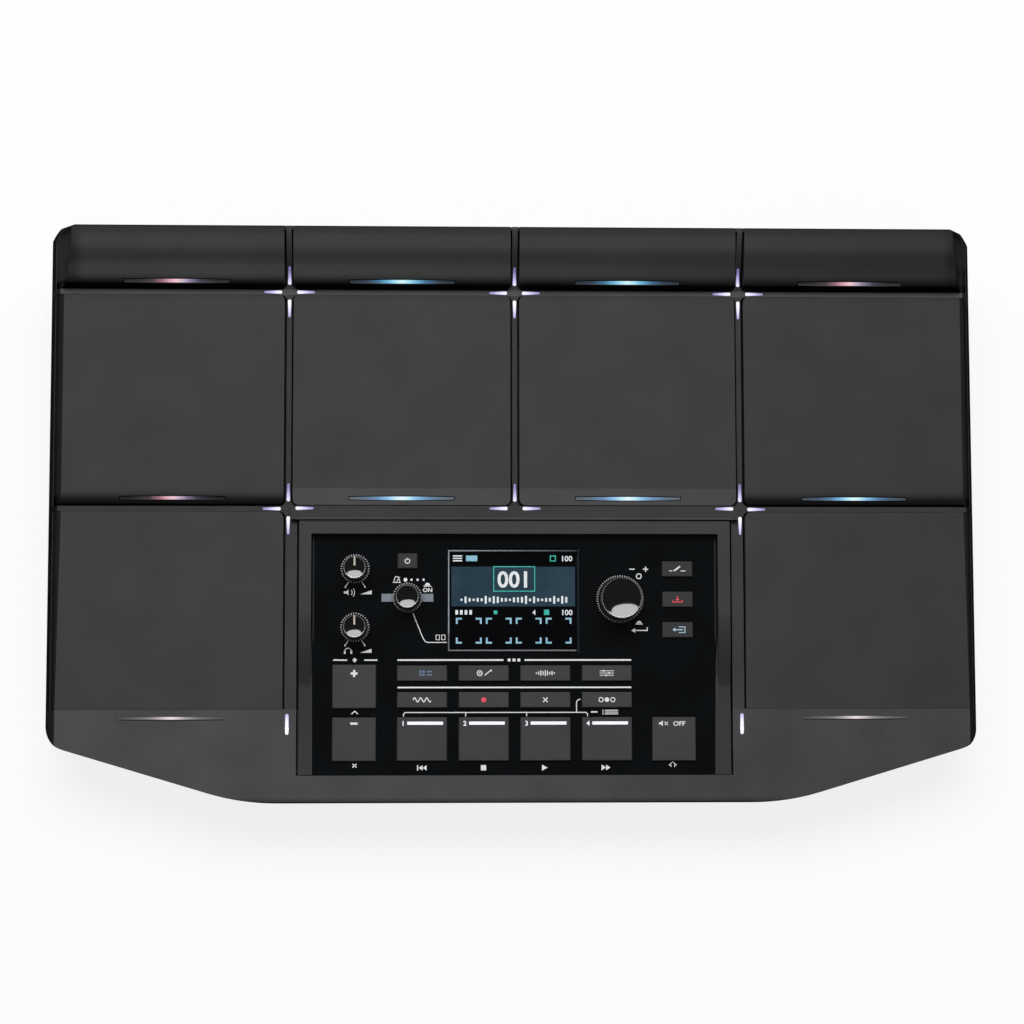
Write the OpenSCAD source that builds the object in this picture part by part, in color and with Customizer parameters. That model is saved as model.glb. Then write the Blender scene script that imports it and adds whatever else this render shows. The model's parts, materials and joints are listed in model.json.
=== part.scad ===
// Electronic percussion pad: ten rubber pads in a sloping case around a sunk
// control panel with a display, knobs and keys. Millimetres, +Z up, +Y to the
// back. The origin lies on the table under the middle of the case.
// The deck frame follows the slope of the playing surface: x to the right,
// y to the back from the middle line of pads, z out of the deck.

/* [Case] */
// Width of the case over its lip
case_w = 466; // [450:1:500]
// Middle line of pads to the front edge, along the deck
front_reach = 145; // [143:0.5:155]
// Middle line of pads to the outside of the rear rim, along the deck
rear_reach = 140.4; // [139.5:0.1:150]
// Slope of the deck in degrees
deck_slope = 5.5; // [4:0.1:7]
// Height of the deck over the table at the middle line of pads
deck_h = 54; // [52:0.5:64]
// Deck down to the lip of the top case
lip_drop = 22; // [20:0.5:24]
// How far the lip stands out past the pads at each side
side_flare = 9.4; // [7:0.1:11]
// How far the lip stands out past the rear rim
rear_flare = 2.6; // [1:0.1:4]
// Wall of the top and bottom cases
wall = 3; // [2.5:0.1:3.4]
// Wall behind the foam under the bars
rim_t = 1.6; // [1.2:0.1:2.4]
// Half the straight part of the front edge
front_flat = 134; // [120:1:145]
// Angle of the slanted front corners in degrees
front_slant = 16.7; // [10:0.1:20]
// Radius of the front corners
front_corner_r = 16; // [12:0.5:20]
// Radius of the blend between the front edge and its slants
front_blend_r = 120; // [60:1:130]
// Radius of the rear corners
rear_corner_r = 11; // [9:0.5:14]
// Rounding of the rear corners at the top of the bars
rear_corner_top = 3; // [1:0.1:6]
// Rounding of the top front edge
front_round = 3; // [1.5:0.1:3.4]
// Thickness of the bottom case's flange under the lip
flange_t = 2.5; // [2:0.1:3]
// Set-back of the keel of the bottom case from the lip
keel_inset = 7; // [5:0.5:10]
// How far the keel's sides draw in on the way down
keel_draw = 12; // [6:0.5:16]

/* [Pads] */
// Distance between the upright dividing strips
pad_pitch = 112.2; // [110:0.1:113]
// Middle line of pads to the strip in front of the bars
bar_line = 108.5; // [105:0.1:110]
// Middle line of pads to the front end of the lower pads
lower_front = 98.9; // [90:0.1:100]
// Width of the dividing strips
strip_w = 2.6; // [2.4:0.1:3]
// Fillet of the strips where they cross
hub_fillet = 3.2; // [2:0.1:3.4]
// Gap beside a strip
side_gap = 0.95; // [0.6:0.05:1.1]
// Seam in front of and behind a pad
end_gap = 0.4; // [0.3:0.05:0.8]
// Height of the pads over the strips
pad_rise = 3; // [2:0.1:4]
// Depth of the pads below the deck
pad_base = 5; // [4.5:0.1:5.5]
// Length of the rolled front of the outer upper pads
roll_len = 8.5; // [6:0.1:12]
// Height of the bars' front shelf over the deck
bar_shelf = 7.5; // [6:0.1:8.5]
// Height of the bars' crest over the deck
bar_crest = 10.5; // [9.5:0.1:12]
// Length of the rolled front of the bars
bar_roll = 6; // [5:0.1:8]
// Length of the flat shelf behind the bars' rolled front
bar_flat = 4; // [2:0.1:6]
// Length of the bars' flat crest in front of the rear edge
bar_top = 7.8; // [3:0.1:9]
// Lean of the bars' outer ends, sideways per height
bar_lean = 0.57; // [0.3:0.01:0.7]
// Travel of a pad when it is struck
pad_travel = 0.5; // [0.3:0.05:0.6]
// Thickness of the foam under a pad
cushion_t = 3.4; // [3:0.1:4]
// Thickness of the sensor film
sensor_t = 0.6; // [0.4:0.1:0.8]
// Thickness of the steel pad plate
plate_t = 1.5; // [1.2:0.1:2]

/* [Lights] */
// Length of a pad light
lens_len = 51.8; // [40:0.1:60]
// Height of a pad light at its middle
lens_mid = 1.8; // [1.6:0.1:2.4]
// Height of a pad light at its ends
lens_end = 1.2; // [1:0.1:1.6]
// Bar light behind the front of the bars
bar_lens_in = 2.6; // [2.2:0.1:3.6]
// Upper pad light behind the middle line
upper_lens_y = 5; // [4.5:0.1:6]
// Lower pad light in front of the lower pads
lower_lens_in = 4.6; // [4:0.1:6]
// Width of a cross light's arm at its inner end
arm_w = 1.9; // [1.4:0.1:1.9]
// Width of a cross light's arm at its outer end
arm_tip = 1.2; // [0.8:0.1:1.4]
// Hub centre to the inner end of an arm
arm_in = 3.7; // [3:0.1:5]
// Hub centre to the outer end of an arm
arm_out = 12.7; // [10:0.1:15]
// Front light slots, lower pads' front to the slot's middle
front_slot_in = 7.4; // [7:0.1:9]

/* [Control panel] */
// Half the width of the bay for the panel and its hood
bay_half = 107.7; // [107:0.1:108]
// Middle line of pads to the rear of the bay
bay_rear = 5.4; // [5:0.1:7]
// Middle line of pads to the front of the bay
bay_front = 131.4; // [130:0.1:133]
// Groove beside the hood
hood_groove = 1.1; // [0.6:0.1:1.3]
// Groove behind the hood
rear_groove = 0.5; // [0.3:0.1:1.3]
// Width of the hood's rails
rail_w = 6; // [5:0.1:7]
// Width of the hood behind the panel
hood_rear_w = 6.6; // [5.5:0.1:7]
// Middle line of pads to the start of the rails' ramp
ramp_start = 53.6; // [40:0.1:60]
// Middle line of pads to the foot of the rails' ramp
ramp_end = 87; // [80:0.1:100]
// Panel face below the deck
panel_sink = 1; // [0.6:0.1:1.5]
// Thickness of the panel's face
panel_t = 2.5; // [2:0.1:2.6]
// Deck down to the ledge that carries hood and panel
ledge_drop = 7; // [6.5:0.1:7.5]
// Width of the ledge inside the bay
ledge_w = 11; // [9:0.5:13]
// Fit gap between panel and hood
panel_fit = 0.3; // [0.2:0.05:0.5]
// Face of the panel board below the deck
board_drop = 13; // [12.6:0.1:13.8]
// Thickness of the circuit boards
board_t = 1.6; // [1.2:0.1:2]
// Middle of the display
display_x = -0.7; // [-2:0.1:2]
// Width of the display's window
display_w = 63.2; // [60:0.1:66]
// Height of the display's window
display_h = 50; // [44:0.1:52]
// Display's middle in front of the middle line
display_y = 45.4; // [44:0.1:48]
// Bevel around the window
display_bevel = 1; // [0.5:0.1:1.2]

/* [Keys] */
// Middle of the first key column
key_x0 = -45.9; // [-47:0.1:-45]
// Distance between key columns
key_pitch = 30.4; // [30:0.1:30.8]
// Width of the keys in the columns
key_w = 24.6; // [22:0.1:25]
// Height of the flat keys
key_h = 7.6; // [6.5:0.1:8]
// Front distance of the first row of flat keys
mode_y = 81.3; // [80:0.1:82]
// Front distance of the second row of flat keys
function_y = 94.4; // [94:0.1:95]
// Front distance of the loop keys
loop_y = 113.6; // [112.5:0.1:114.5]
// Height of the loop keys
loop_h = 21.3; // [20:0.1:22]
// Side of the square keys
square_key = 21.4; // [20:0.1:22]
// Middle of the square keys on the left
square_left_x = -79.3; // [-80:0.1:-78.5]
// Middle of the square key on the right
square_right_x = 78.4; // [78:0.1:79]
// Front distance of the upper square key
plus_y = 87.8; // [86:0.1:88]
// Front distance of the lower square keys
minus_y = 113.7; // [113:0.1:114.5]
// Middle of the small keys on the right
small_key_x = 80.6; // [79:0.1:81]
// Front distance of the first small key
small_key_y = 29.7; // [28:0.1:31]
// Distance between the small keys
small_key_pitch = 15.1; // [14:0.1:15.5]
// Width of the small keys
small_key_w = 15.3; // [14:0.1:16]
// Width of the power key
power_w = 9.9; // [9:0.1:11]
// Middle of the power key
power_x = -53.2; // [-54:0.1:-52]
// Front distance of the power key
power_y = 25.8; // [25:0.1:27]
// Height of the keys over the panel
key_proud = 1.5; // [1:0.1:2]
// Travel of a key
key_travel = 0.6; // [0.3:0.05:0.6]
// Gap around a key
key_gap = 0.35; // [0.3:0.05:0.5]
// Retaining flange around a key under the panel
key_flange = 1.2; // [0.8:0.1:1.4]
// Chamfer of the keys' top edges
key_chamfer = 0.4; // [0.2:0.05:0.6]

/* [Knobs] */
// Middle of the volume knobs
volume_x = -79; // [-80:0.1:-78]
// Front distance of the main volume knob
main_volume_y = 29.8; // [29:0.1:31]
// Front distance of the phones knob
phones_y = 58.7; // [57:0.1:60]
// Middle of the metronome knob
metronome_x = -53.2; // [-54:0.1:-52]
// Front distance of the metronome knob
metronome_y = 44; // [43:0.1:45]
// Middle of the value knob
value_x = 52; // [51:0.1:53]
// Front distance of the value knob
value_y = 44.7; // [44:0.1:46]
// Diameter of the volume knobs' caps
volume_d = 11.3; // [10.5:0.1:12]
// Diameter of the metronome knob's cap
metronome_d = 11.6; // [10.5:0.1:12]
// Diameter of the value knob's cap
value_d = 20.3; // [18:0.1:21]
// How far a knob's toothed skirt stands out past its cap
skirt_out = 1.55; // [1:0.05:1.8]
// Height of the knobs
knob_h = 13; // [11:0.1:15]
// Height of the toothed skirt
skirt_h = 2.2; // [1.5:0.1:3]
// Diameter of the shafts
shaft_d = 6; // [5.8:0.1:6.2]
// Running gap of shafts and rotors
shaft_gap = 0.3; // [0.25:0.05:0.35]
// Travel of the push knobs
push_travel = 0.5; // [0.3:0.05:0.6]
// Length of the metronome lamp
lamp_len = 25.6; // [24:0.1:28]
// Width of the metronome lamp
lamp_w = 3.9; // [3.5:0.1:5]

/* [Sockets and base] */
// Height of the rubber feet
foot_h = 6; // [5:0.1:6.5]
// Diameter of the rubber feet
foot_d = 20; // [16:0.5:24]
// Feet from the middle, sideways
foot_x = 175; // [160:1:180]
// Feet from the middle, front and back
foot_y = 98; // [90:1:100]
// Height of the sockets' axes over the table
socket_z = 26; // [25:0.1:27]
// Bore of the phone jacks
jack_bore = 6.5; // [6.4:0.05:6.6]
// Outside of the phone jacks' collars
jack_collar = 10; // [9.6:0.1:11]
// Middle of the first phone jack
jack_x0 = 44; // [40:0.5:48]
// Distance between the phone jacks
jack_pitch = 26; // [24:0.5:27]
// Middle of the first MIDI socket
midi_x0 = -24; // [-28:0.5:-20]
// Distance between the MIDI sockets
midi_pitch = 27; // [25:0.5:30]
// Middle of the USB socket
usb_x = -86; // [-90:0.5:-80]
// Middle of the power inlet
dc_x = -150; // [-160:0.5:-130]
// Distance between the stand inserts, sideways
stand_x = 140; // [120:1:150]
// Distance between the stand inserts, front to back
stand_y = 60; // [50:1:70]
// Thread diameter of the stand inserts
stand_bore = 5; // [5:0.1:6]
// Shaft diameter of the case screws
screw_d = 3; // [2.9:0.1:3.5]

/* [Hidden] */
$fn = 48;

// Small overshoot of a cut past the face that it opens
cut = 1;
// Rest gap under anything that travels
rest_gap = 0.3;
// Fit gap of pieces that are set into the case
set_gap = 0.1;

half_w = case_w / 2;
deck_half = half_w - side_flare;
rear_lip = rear_reach + rear_flare;
flank_h = pad_rise + lip_drop;
rim_z = bar_crest - 1;
over = bar_crest + 8;

// The case is centred over the origin between its front edge and its rear lip
front_edge_y = (front_round - front_reach) * cos(deck_slope) + front_round * (sin(deck_slope) - 1);
rear_edge_y = rear_lip * cos(deck_slope) + lip_drop * sin(deck_slope);
deck_y = -(front_edge_y + rear_edge_y) / 2;

// Stack under the pads
cushion_top = -pad_base - pad_travel - rest_gap;
cushion_bottom = cushion_top - cushion_t;
well_z = cushion_bottom - sensor_t;
plate_bottom = well_z - plate_t;

// Fore and aft ends of the pads and strips
half_strip = strip_w / 2;
upper_front_y = half_strip + end_gap;
upper_rear_y = bar_line - half_strip - end_gap;
bar_front_y = bar_line + half_strip + end_gap;
foam_rear_y = rear_reach - rim_t - end_gap;
lower_rear_y = -upper_front_y;
lower_front_y = -lower_front;
bar_lens_y = bar_front_y + bar_lens_in;
lower_lens_y = lower_front_y - lower_lens_in;
front_slot_y = lower_front_y - front_slot_in;

// Control panel levels
panel_top = -panel_sink;
panel_bottom = panel_top - panel_t;
board_top = -board_drop;
hood_half = bay_half - hood_groove;
panel_half = hood_half - rail_w - panel_fit;
hood_rear_y = -bay_rear - rear_groove;
panel_rear_y = hood_rear_y - hood_rear_w - panel_fit;
panel_front_y = -bay_front + panel_fit;
panel_skirt = 3;
window_t = 1.5;
window_lap = 2;
board_half = bay_half - ledge_w - 2;
board_rear_y = -bay_rear - ledge_w - 2;
board_front_y = -bay_front + ledge_w - 4;

// Bottom case levels
floor_z = foot_h;
floor_top = foot_h + wall;
keel_half = half_w - keel_inset;

// Rounds the corners of a closed path: each corner has a radius and n steps
function unit(v) = v / norm(v);
function corner_arc(a, b, c, r, n) =
  let (u = unit(a - b), v = unit(c - b))
  let (half = acos(u * v) / 2, t = r / tan(half))
  let (middle = b + unit(u + v) * r / sin(half))
  let (from = b + u * t - middle, to = b + v * t - middle)
  let (a0 = atan2(from.y, from.x), a1 = atan2(to.y, to.x))
  let (turn = (a1 - a0) > 180 ? a1 - a0 - 360 : (a1 - a0) < -180 ? a1 - a0 + 360 : a1 - a0)
  [for (i = [0:n]) middle + r * [cos(a0 + turn * i / n), sin(a0 + turn * i / n)]];
function round_path(p, r, n) = [
  for (i = [0:len(p) - 1])
    each corner_arc(p[(i + len(p) - 1) % len(p)], p[i], p[(i + 1) % len(p)], r[i], n)
];

// Plan outline of the case at its lip, drawn in by d all round
function slant_y(x, d) = -front_reach + (x - front_flat) * tan(front_slant) + d / cos(front_slant);
function case_corners(d) =
  let (side = half_w - d)
  let (flat = front_flat + (d - d / cos(front_slant)) / tan(front_slant))
  [
    [side, rear_lip - d], [-side, rear_lip - d],
    [-side, slant_y(side, d)], [-flat, d - front_reach],
    [flat, d - front_reach], [side, slant_y(side, d)]
  ];
function case_radii(d) =
  let (r = rear_corner_r - d, f = front_corner_r - d, b = front_blend_r - d)
  [r, r, f, b, b, f];
function case_path(d) = round_path(case_corners(d), case_radii(d), 8);
module case_outline(d) {
  polygon(case_path(d));
}

// Half width of the flank at height z over the deck: a parabola down to the lip
function flank_x(z) =
  z >= pad_rise
    ? deck_half - bar_lean * (z - pad_rise)
    : deck_half + side_flare * (1 - pow(1 - min(1, (pad_rise - z) / flank_h), 2));

module on_deck() {
  translate([0, deck_y, deck_h])
    rotate([deck_slope, 0, 0])
      children();
}
module along_x(x0, x1) {
  translate([x0, 0, 0])
    rotate([90, 0, 90])
      linear_extrude(x1 - x0)
        children();
}
module along_y(y0, y1) {
  translate([0, y1, 0])
    rotate([90, 0, 0])
      linear_extrude(y1 - y0)
        children();
}
module block(x0, x1, y0, y1, z0, z1) {
  translate([x0, y0, z0])
    cube([x1 - x0, y1 - y0, z1 - z0]);
}
module slab(x, y, w, h, z0, z1) {
  block(x - w / 2, x + w / 2, y - h / 2, y + h / 2, z0, z1);
}
module post(x, y, d, z0, z1) {
  translate([x, y, z0])
    cylinder(d = d, h = z1 - z0);
}

// Body of the case between its flanks, drawn in by d
flank_steps = 8;
module flank_prism(d) {
  levels = [over, for (i = [0:flank_steps]) pad_rise - flank_h * i / flank_steps, -lip_drop - 4];
  right = [for (z = levels) [flank_x(z) - d, z]];
  left = [for (i = [len(right) - 1:-1:0]) [-right[i].x, right[i].y]];
  along_y(-front_reach - cut, rear_lip + cut)
    polygon(concat(right, left));
}

// Rounded rear corners, in flats that lean like the flank and the rear wall
module rear_corner_cuts() {
  lip = [half_w, rear_lip];
  for (s = [0, 1], a = [22.5, 45, 67.5]) {
    out = [cos(a), sin(a)];
    top = [flank_x(rim_z), rear_reach] + rear_corner_top * (out - [1, 1]);
    lean = atan((lip - top) * out / (rim_z + lip_drop));
    mirror([s, 0, 0])
      translate([top.x, top.y, rim_z])
        rotate([0, 0, a])
          rotate([0, -lean, 0])
            block(0, case_w / 10, -case_w / 12, case_w / 12, -2 * lip_drop, over);
  }
}
rim_edge = 0.8;
// Rear wall of the case at a height over the deck
function rear_y(z) = rear_reach + rear_flare * (rim_z - rim_edge - z) / (rim_z - rim_edge + lip_drop);

// Fore and aft profile of the top case: rounded front edge, deck, rear rim
module case_profile() {
  edge = [
    for (a = [0:15:90])
      [-front_reach + front_round * (1 - cos(a)), -front_round * (1 - sin(a))]
  ];
  rim_y = rear_reach - rim_t;
  polygon(concat(
    [[-front_reach, -lip_drop]],
    edge,
    [[bar_front_y + bar_roll, 0], [rim_y - 2, rim_z], [rear_reach - rim_edge, rim_z]],
    [[rear_reach, rim_z - rim_edge], [rear_lip, -lip_drop]]
  ));
}

// Pads
function strip_x(i) = (i - 2) * pad_pitch;
function pad_left(i) = i == 1 ? -case_w : strip_x(i - 1) + half_strip + side_gap;
function pad_right(i) = i == 4 ? case_w : strip_x(i) - half_strip - side_gap;
// Middle of pad i between its strip and the flank, at a height over the deck
function pad_mid(i, z) = (max(pad_left(i), -flank_x(z)) + min(pad_right(i), flank_x(z))) / 2;
lower_in = pad_pitch + half_strip + side_gap;
lower_mid = (lower_in + deck_half) / 2;

// Quarter ellipse that rolls off from (y, z) by length l and drop d
function roll_off(y, z, l, d) = [for (a = [0:11.25:90]) [y - l * sin(a), z - d * (1 - cos(a))]];

module bar_profile() {
  shelf_y = bar_front_y + bar_roll;
  dip_y = shelf_y + bar_flat;
  crest_y = rear_reach - 3;
  brow_y = crest_y - bar_top;
  polygon(concat(
    [[bar_front_y, -pad_base], [rear_y(-pad_base), -pad_base], [rear_reach, rim_z - rim_edge]],
    [for (a = [30:30:90]) [crest_y + 3 * cos(a), bar_crest - 2.5 * (1 - sin(a))]],
    [for (t = [0:0.2:1])
      [brow_y + (dip_y - brow_y) * t, bar_crest + (bar_shelf - bar_crest) * (1 - cos(180 * t)) / 2]],
    roll_off(shelf_y, bar_shelf, bar_roll, bar_shelf)
  ));
}
module rolled_profile() {
  polygon(concat(
    [[upper_front_y, -pad_base], [upper_rear_y, -pad_base], [upper_rear_y, pad_rise]],
    roll_off(upper_front_y + roll_len, pad_rise, roll_len, pad_rise)
  ));
}
module flat_profile() {
  polygon([
    [upper_front_y, -pad_base], [upper_rear_y, -pad_base],
    [upper_rear_y, pad_rise], [upper_front_y, pad_rise]
  ]);
}
module lower_profile() {
  polygon([
    [lower_front_y + end_gap, -pad_base], [lower_rear_y, -pad_base],
    [lower_rear_y, pad_rise], [lower_front_y + end_gap, 0]
  ]);
}

// Plan of a pad light: a slim spindle
module lens_plan(grow) {
  steps = 12;
  half = lens_len / 2 + grow;
  top = [
    for (i = [0:steps])
      let (t = 2 * i / steps - 1)
      [half * t, grow + (lens_end + (lens_mid - lens_end) * (1 - t * t)) / 2]
  ];
  polygon(concat(top, [for (i = [steps:-1:0]) [top[i].x, -top[i].y]]));
}
module lens_column(x, y, grow, z0, z1) {
  translate([x, y, z0])
    linear_extrude(z1 - z0)
      lens_plan(grow);
}
lens_slot_gap = 0.4;

// The four quarters around a crossing of strips
module quarters(h) {
  translate([h.x, h.y])
    for (mx = [0, 1], my = [0, 1])
      mirror([mx, 0])
        mirror([0, my])
          children();
}
// Concave corner of radius r, with its straight sides at (x, y)
module corner_web(x, y, r) {
  difference() {
    square([x + r, y + r]);
    translate([x + r, y + r])
      circle(r);
  }
}
module hub_fillets() {
  translate([0, 0, cushion_top])
    linear_extrude(-cushion_top)
      for (h = hubs)
        quarters(h)
          corner_web(half_strip, half_strip, hub_fillet);
}
// Rounds the corners of pad i that meet a crossing
module corner_trims(i, rows) {
  translate([0, 0, -pad_base - cut])
    linear_extrude(pad_base + cut + over)
      for (x = [strip_x(i - 1), strip_x(i)], y = rows)
        if (abs(x) < 1.5 * pad_pitch)
          quarters([x, y])
            corner_web(half_strip + side_gap, half_strip + end_gap, hub_fillet - 0.2);
}

module bar_pad(i) {
  color([0.24, 0.24, 0.24])
    on_deck()
      difference() {
        intersection() {
          flank_prism(0);
          along_x(pad_left(i), pad_right(i)) bar_profile();
        }
        lens_column(pad_mid(i, bar_shelf), bar_lens_y, lens_slot_gap, -pad_base - cut, over);
        corner_trims(i, [bar_line]);
        if (i == 1 || i == 4) rear_corner_cuts();
      }
}
module upper_pad(i) {
  outer = i == 1 || i == 4;
  color([0.24, 0.24, 0.24])
    on_deck()
      difference() {
        intersection() {
          flank_prism(0);
          along_x(pad_left(i), pad_right(i)) {
            if (outer) rolled_profile();
            if (!outer) flat_profile();
          }
        }
        lens_column(pad_mid(i, pad_rise), upper_lens_y, lens_slot_gap, -pad_base - cut, over);
        corner_trims(i, [0, bar_line]);
      }
}
module lower_pad(side) {
  color([0.24, 0.24, 0.24])
    on_deck()
      mirror([side < 0 ? 1 : 0, 0, 0])
        difference() {
          intersection() {
            flank_prism(0);
            along_x(lower_in, case_w) lower_profile();
          }
          corner_trims(4, [0]);
        }
}

// Wells that the pads sit in, open to flank and rear down to where a struck pad reaches
well_half = flank_x(-pad_base) - wall;
well_rear = rear_reach - rim_t;
module well(x0, x1, y0, y1) {
  block(x0, x1, y0, y1, cushion_top, over + cut);
  block(max(x0, -well_half), min(x1, well_half), y0, min(y1, well_rear), well_z - cut, over);
}
module pad_wells() {
  for (i = [1:4]) {
    left = pad_left(i) - side_gap;
    right = pad_right(i) + side_gap;
    well(left, right, half_strip, bar_line - half_strip);
    well(left, right, bar_line + half_strip, rear_lip + cut);
  }
  for (s = [0, 1])
    mirror([s, 0, 0])
      well(lower_in - side_gap, case_w, lower_front_y, -half_strip);
}

// Cross lights: hubs with the arms that each one has, to the right, back, left and front
hubs = [
  for (i = [1:3]) [strip_x(i), bar_line, [0, 90, 180, 270]],
  [strip_x(1), 0, [0, 90, 180, 270]],
  [strip_x(2), 0, [0, 90, 180]],
  [strip_x(3), 0, [0, 90, 180, 270]]
];
// Plan of an arm: round at both ends, and slimmer at its outer end
module arm_plan(grow) {
  x0 = arm_in + arm_w / 2;
  x1 = arm_out - arm_tip / 2;
  r0 = arm_w / 2 + grow;
  r1 = arm_tip / 2 + grow;
  turn = 90 - asin((r0 - r1) / (x1 - x0));
  inner = [for (t = [-1:1 / 4:1]) 180 + t * (180 - turn)];
  outer = [for (t = [-1:1 / 3:1]) t * turn];
  polygon(concat(
    [for (a = inner) [x0 + r0 * cos(a), r0 * sin(a)]],
    [for (a = outer) [x1 + r1 * cos(a), r1 * sin(a)]]
  ));
}
guide_base = 3;
module hub_guide(h, grow) {
  w = arm_tip + 2 * grow;
  translate([h.x, h.y, well_z])
    for (a = h[2])
      rotate([0, 0, a]) {
        linear_extrude(guide_base + grow)
          translate([0, -w / 2])
            square([arm_out - arm_tip / 2, w]);
        linear_extrude(over - well_z)
          arm_plan(grow);
      }
}
// Arms end level with the strips and with the band behind the hood
module guide_ceiling() {
  along_x(-case_w, case_w) case_profile();
  hood_bridge();
}
module front_guides(grow) {
  half = (arm_out - arm_in) / 2 + 0.6;
  w = arm_w + 2 * grow;
  for (s = [-1, 1])
    translate([s * pad_pitch, front_slot_y, -wall - 2])
      linear_extrude(wall + 2) {
        square([w, 2 * half - w], center = true);
        for (e = [-1, 1])
          translate([0, e * (half - w / 2)])
            circle(d = w);
      }
}
module cross_light_guides() {
  color([0.86, 0.87, 0.95])
    on_deck() {
      intersection() {
        for (h = hubs)
          hub_guide(h, 0);
        guide_ceiling();
      }
      front_guides(0);
    }
}

// Pad lights stand on the pad plate, and follow the surface around them
module pad_light_lenses() {
  sunk = 0.15;
  color([0.75, 0.85, 0.95])
    on_deck() {
      for (i = [1:4]) {
        intersection() {
          lens_column(pad_mid(i, bar_shelf), bar_lens_y, 0, well_z, over);
          translate([0, 0, -sunk])
            along_x(-case_w, case_w)
              light_limit(bar_front_y + bar_roll, bar_shelf, bar_roll);
        }
        intersection() {
          lens_column(pad_mid(i, pad_rise), upper_lens_y, 0, well_z, over);
          translate([0, 0, -sunk])
            along_x(-case_w, case_w)
              light_limit(upper_front_y + roll_len, pad_rise, i == 1 || i == 4 ? roll_len : 0);
        }
      }
      for (s = [-1, 1])
        lens_column(s * lower_mid, lower_lens_y, 0, -wall - 2, -sunk);
    }
}
// Space below a pad's rolled front, from the plate up
module light_limit(y, z, l) {
  far = y + 20;
  front = l > 0 ? roll_off(y, z, l, z) : [[-20, z]];
  last = front[len(front) - 1];
  polygon(concat([[far, z]], front, [[last.x, 2 * well_z], [far, 2 * well_z]]));
}

// Bay that the hood and the control panel are set into
module bay_cut() {
  block(-bay_half, bay_half, -bay_front, -bay_rear, -ledge_drop, over);
  block(
    ledge_w - bay_half, bay_half - ledge_w,
    ledge_w - bay_front, -bay_rear - ledge_w, well_z - cut, over
  );
}

// Case screws: places on the deck, under the strips and under the front apron
rear_screw_y = 0.81 * bar_line;
mid_screw_y = 0.24 * bar_line;
lower_screw_y = 0.63 * lower_front_y;
apron_screw = [front_flat + 16, 23 - front_reach];
screw_spots = [
  [-pad_pitch, rear_screw_y], [0, rear_screw_y], [pad_pitch, rear_screw_y],
  [-pad_pitch, mid_screw_y], [pad_pitch, mid_screw_y],
  [-pad_pitch, lower_screw_y], [pad_pitch, lower_screw_y],
  [-apron_screw.x, apron_screw.y], apron_screw
];
boss_d = 8;
module at_screws() {
  for (p = screw_spots)
    translate([p.x, deck_y + p.y * cos(deck_slope), 0])
      children();
}
module above_rim(z0, z1) {
  on_deck()
    block(-case_w, case_w, -case_w, case_w, z0, z1);
}

module top_case() {
  color([0.27, 0.27, 0.28])
    difference() {
      union() {
        on_deck() top_shell();
        intersection() {
          at_screws() cylinder(d = boss_d, h = 2 * deck_h);
          above_rim(-lip_drop, -wall / 2);
          on_deck() boss_ceiling();
        }
      }
      on_deck() {
        for (h = hubs)
          hub_guide(h, 1.5 * set_gap);
        front_guides(1.5 * set_gap);
        for (s = [-1, 1])
          lens_column(s * lower_mid, lower_lens_y, set_gap, -2 * wall, cut);
      }
      intersection() {
        at_screws() cylinder(d = screw_d - 2 * set_gap, h = 2 * deck_h);
        above_rim(-lip_drop - cut, screw_top_z);
      }
    }
}
screw_top_z = well_z - 2;
// Bosses end on the strips, or under the front apron
module boss_ceiling() {
  block(-case_w, case_w, lower_front_y - strip_w, case_w, -lip_drop, well_z + cut);
  block(-case_w, case_w, -case_w, lower_front_y - strip_w, -lip_drop, over);
}
module top_shell() {
  difference() {
    intersection() {
      translate([0, 0, -lip_drop])
        linear_extrude(lip_drop + over)
          case_outline(0);
      flank_prism(0);
      along_x(-case_w, case_w) case_profile();
    }
    lower_cavity();
    apron_cavity();
    pad_wells();
    bay_cut();
    rear_corner_cuts();
  }
  hood_bridge();
  hub_fillets();
}
module lower_cavity() {
  intersection() {
    translate([0, 0, -lip_drop - cut])
      linear_extrude(lip_drop + cut + well_z)
        case_outline(wall);
    flank_prism(wall);
  }
}
module apron_cavity() {
  difference() {
    intersection() {
      translate([0, 0, -lip_drop])
        linear_extrude(lip_drop - wall)
          case_outline(wall);
      flank_prism(wall);
      block(-case_w, case_w, -case_w, lower_front_y - strip_w, -lip_drop, over);
    }
    block(-bay_half - wall, bay_half + wall, -bay_front - wall, 0, well_z, over);
  }
}
// Raised band between the inner upper pads and the hood, level with both
module hood_bridge() {
  block(half_strip - pad_pitch, pad_pitch - half_strip, -bay_rear, half_strip, well_z, pad_rise);
}

// Inverted U around the control panel: high rails that ramp down to the front
module panel_hood() {
  bevel = 0.9;
  ramp = [
    for (t = [0:0.125:1])
      [-ramp_start - (ramp_end - ramp_start) * t, pad_rise * (1 - t * t)]
  ];
  color([0.23, 0.23, 0.24])
    on_deck()
      intersection() {
        along_x(-hood_half, hood_half)
          polygon(concat(
            [[hood_rear_y, -ledge_drop], [hood_rear_y, pad_rise - bevel], [hood_rear_y - bevel, pad_rise]],
            ramp,
            [[panel_front_y, 0], [panel_front_y, -ledge_drop]]
          ));
        translate([0, 0, -ledge_drop - cut])
          linear_extrude(ledge_drop + over)
            hood_plan();
      }
}
module hood_plan() {
  corner = 0.6;
  difference() {
    polygon(round_path(
      [[hood_half, hood_rear_y], [-hood_half, hood_rear_y],
        [-hood_half, -bay_front - cut], [hood_half, -bay_front - cut]],
      [corner, corner, 0.2, 0.2], 4));
    translate([rail_w - hood_half, -bay_front - 2 * cut])
      square([2 * (hood_half - rail_w), bay_front + 2 * cut + hood_rear_y - hood_rear_w]);
  }
}

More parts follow.
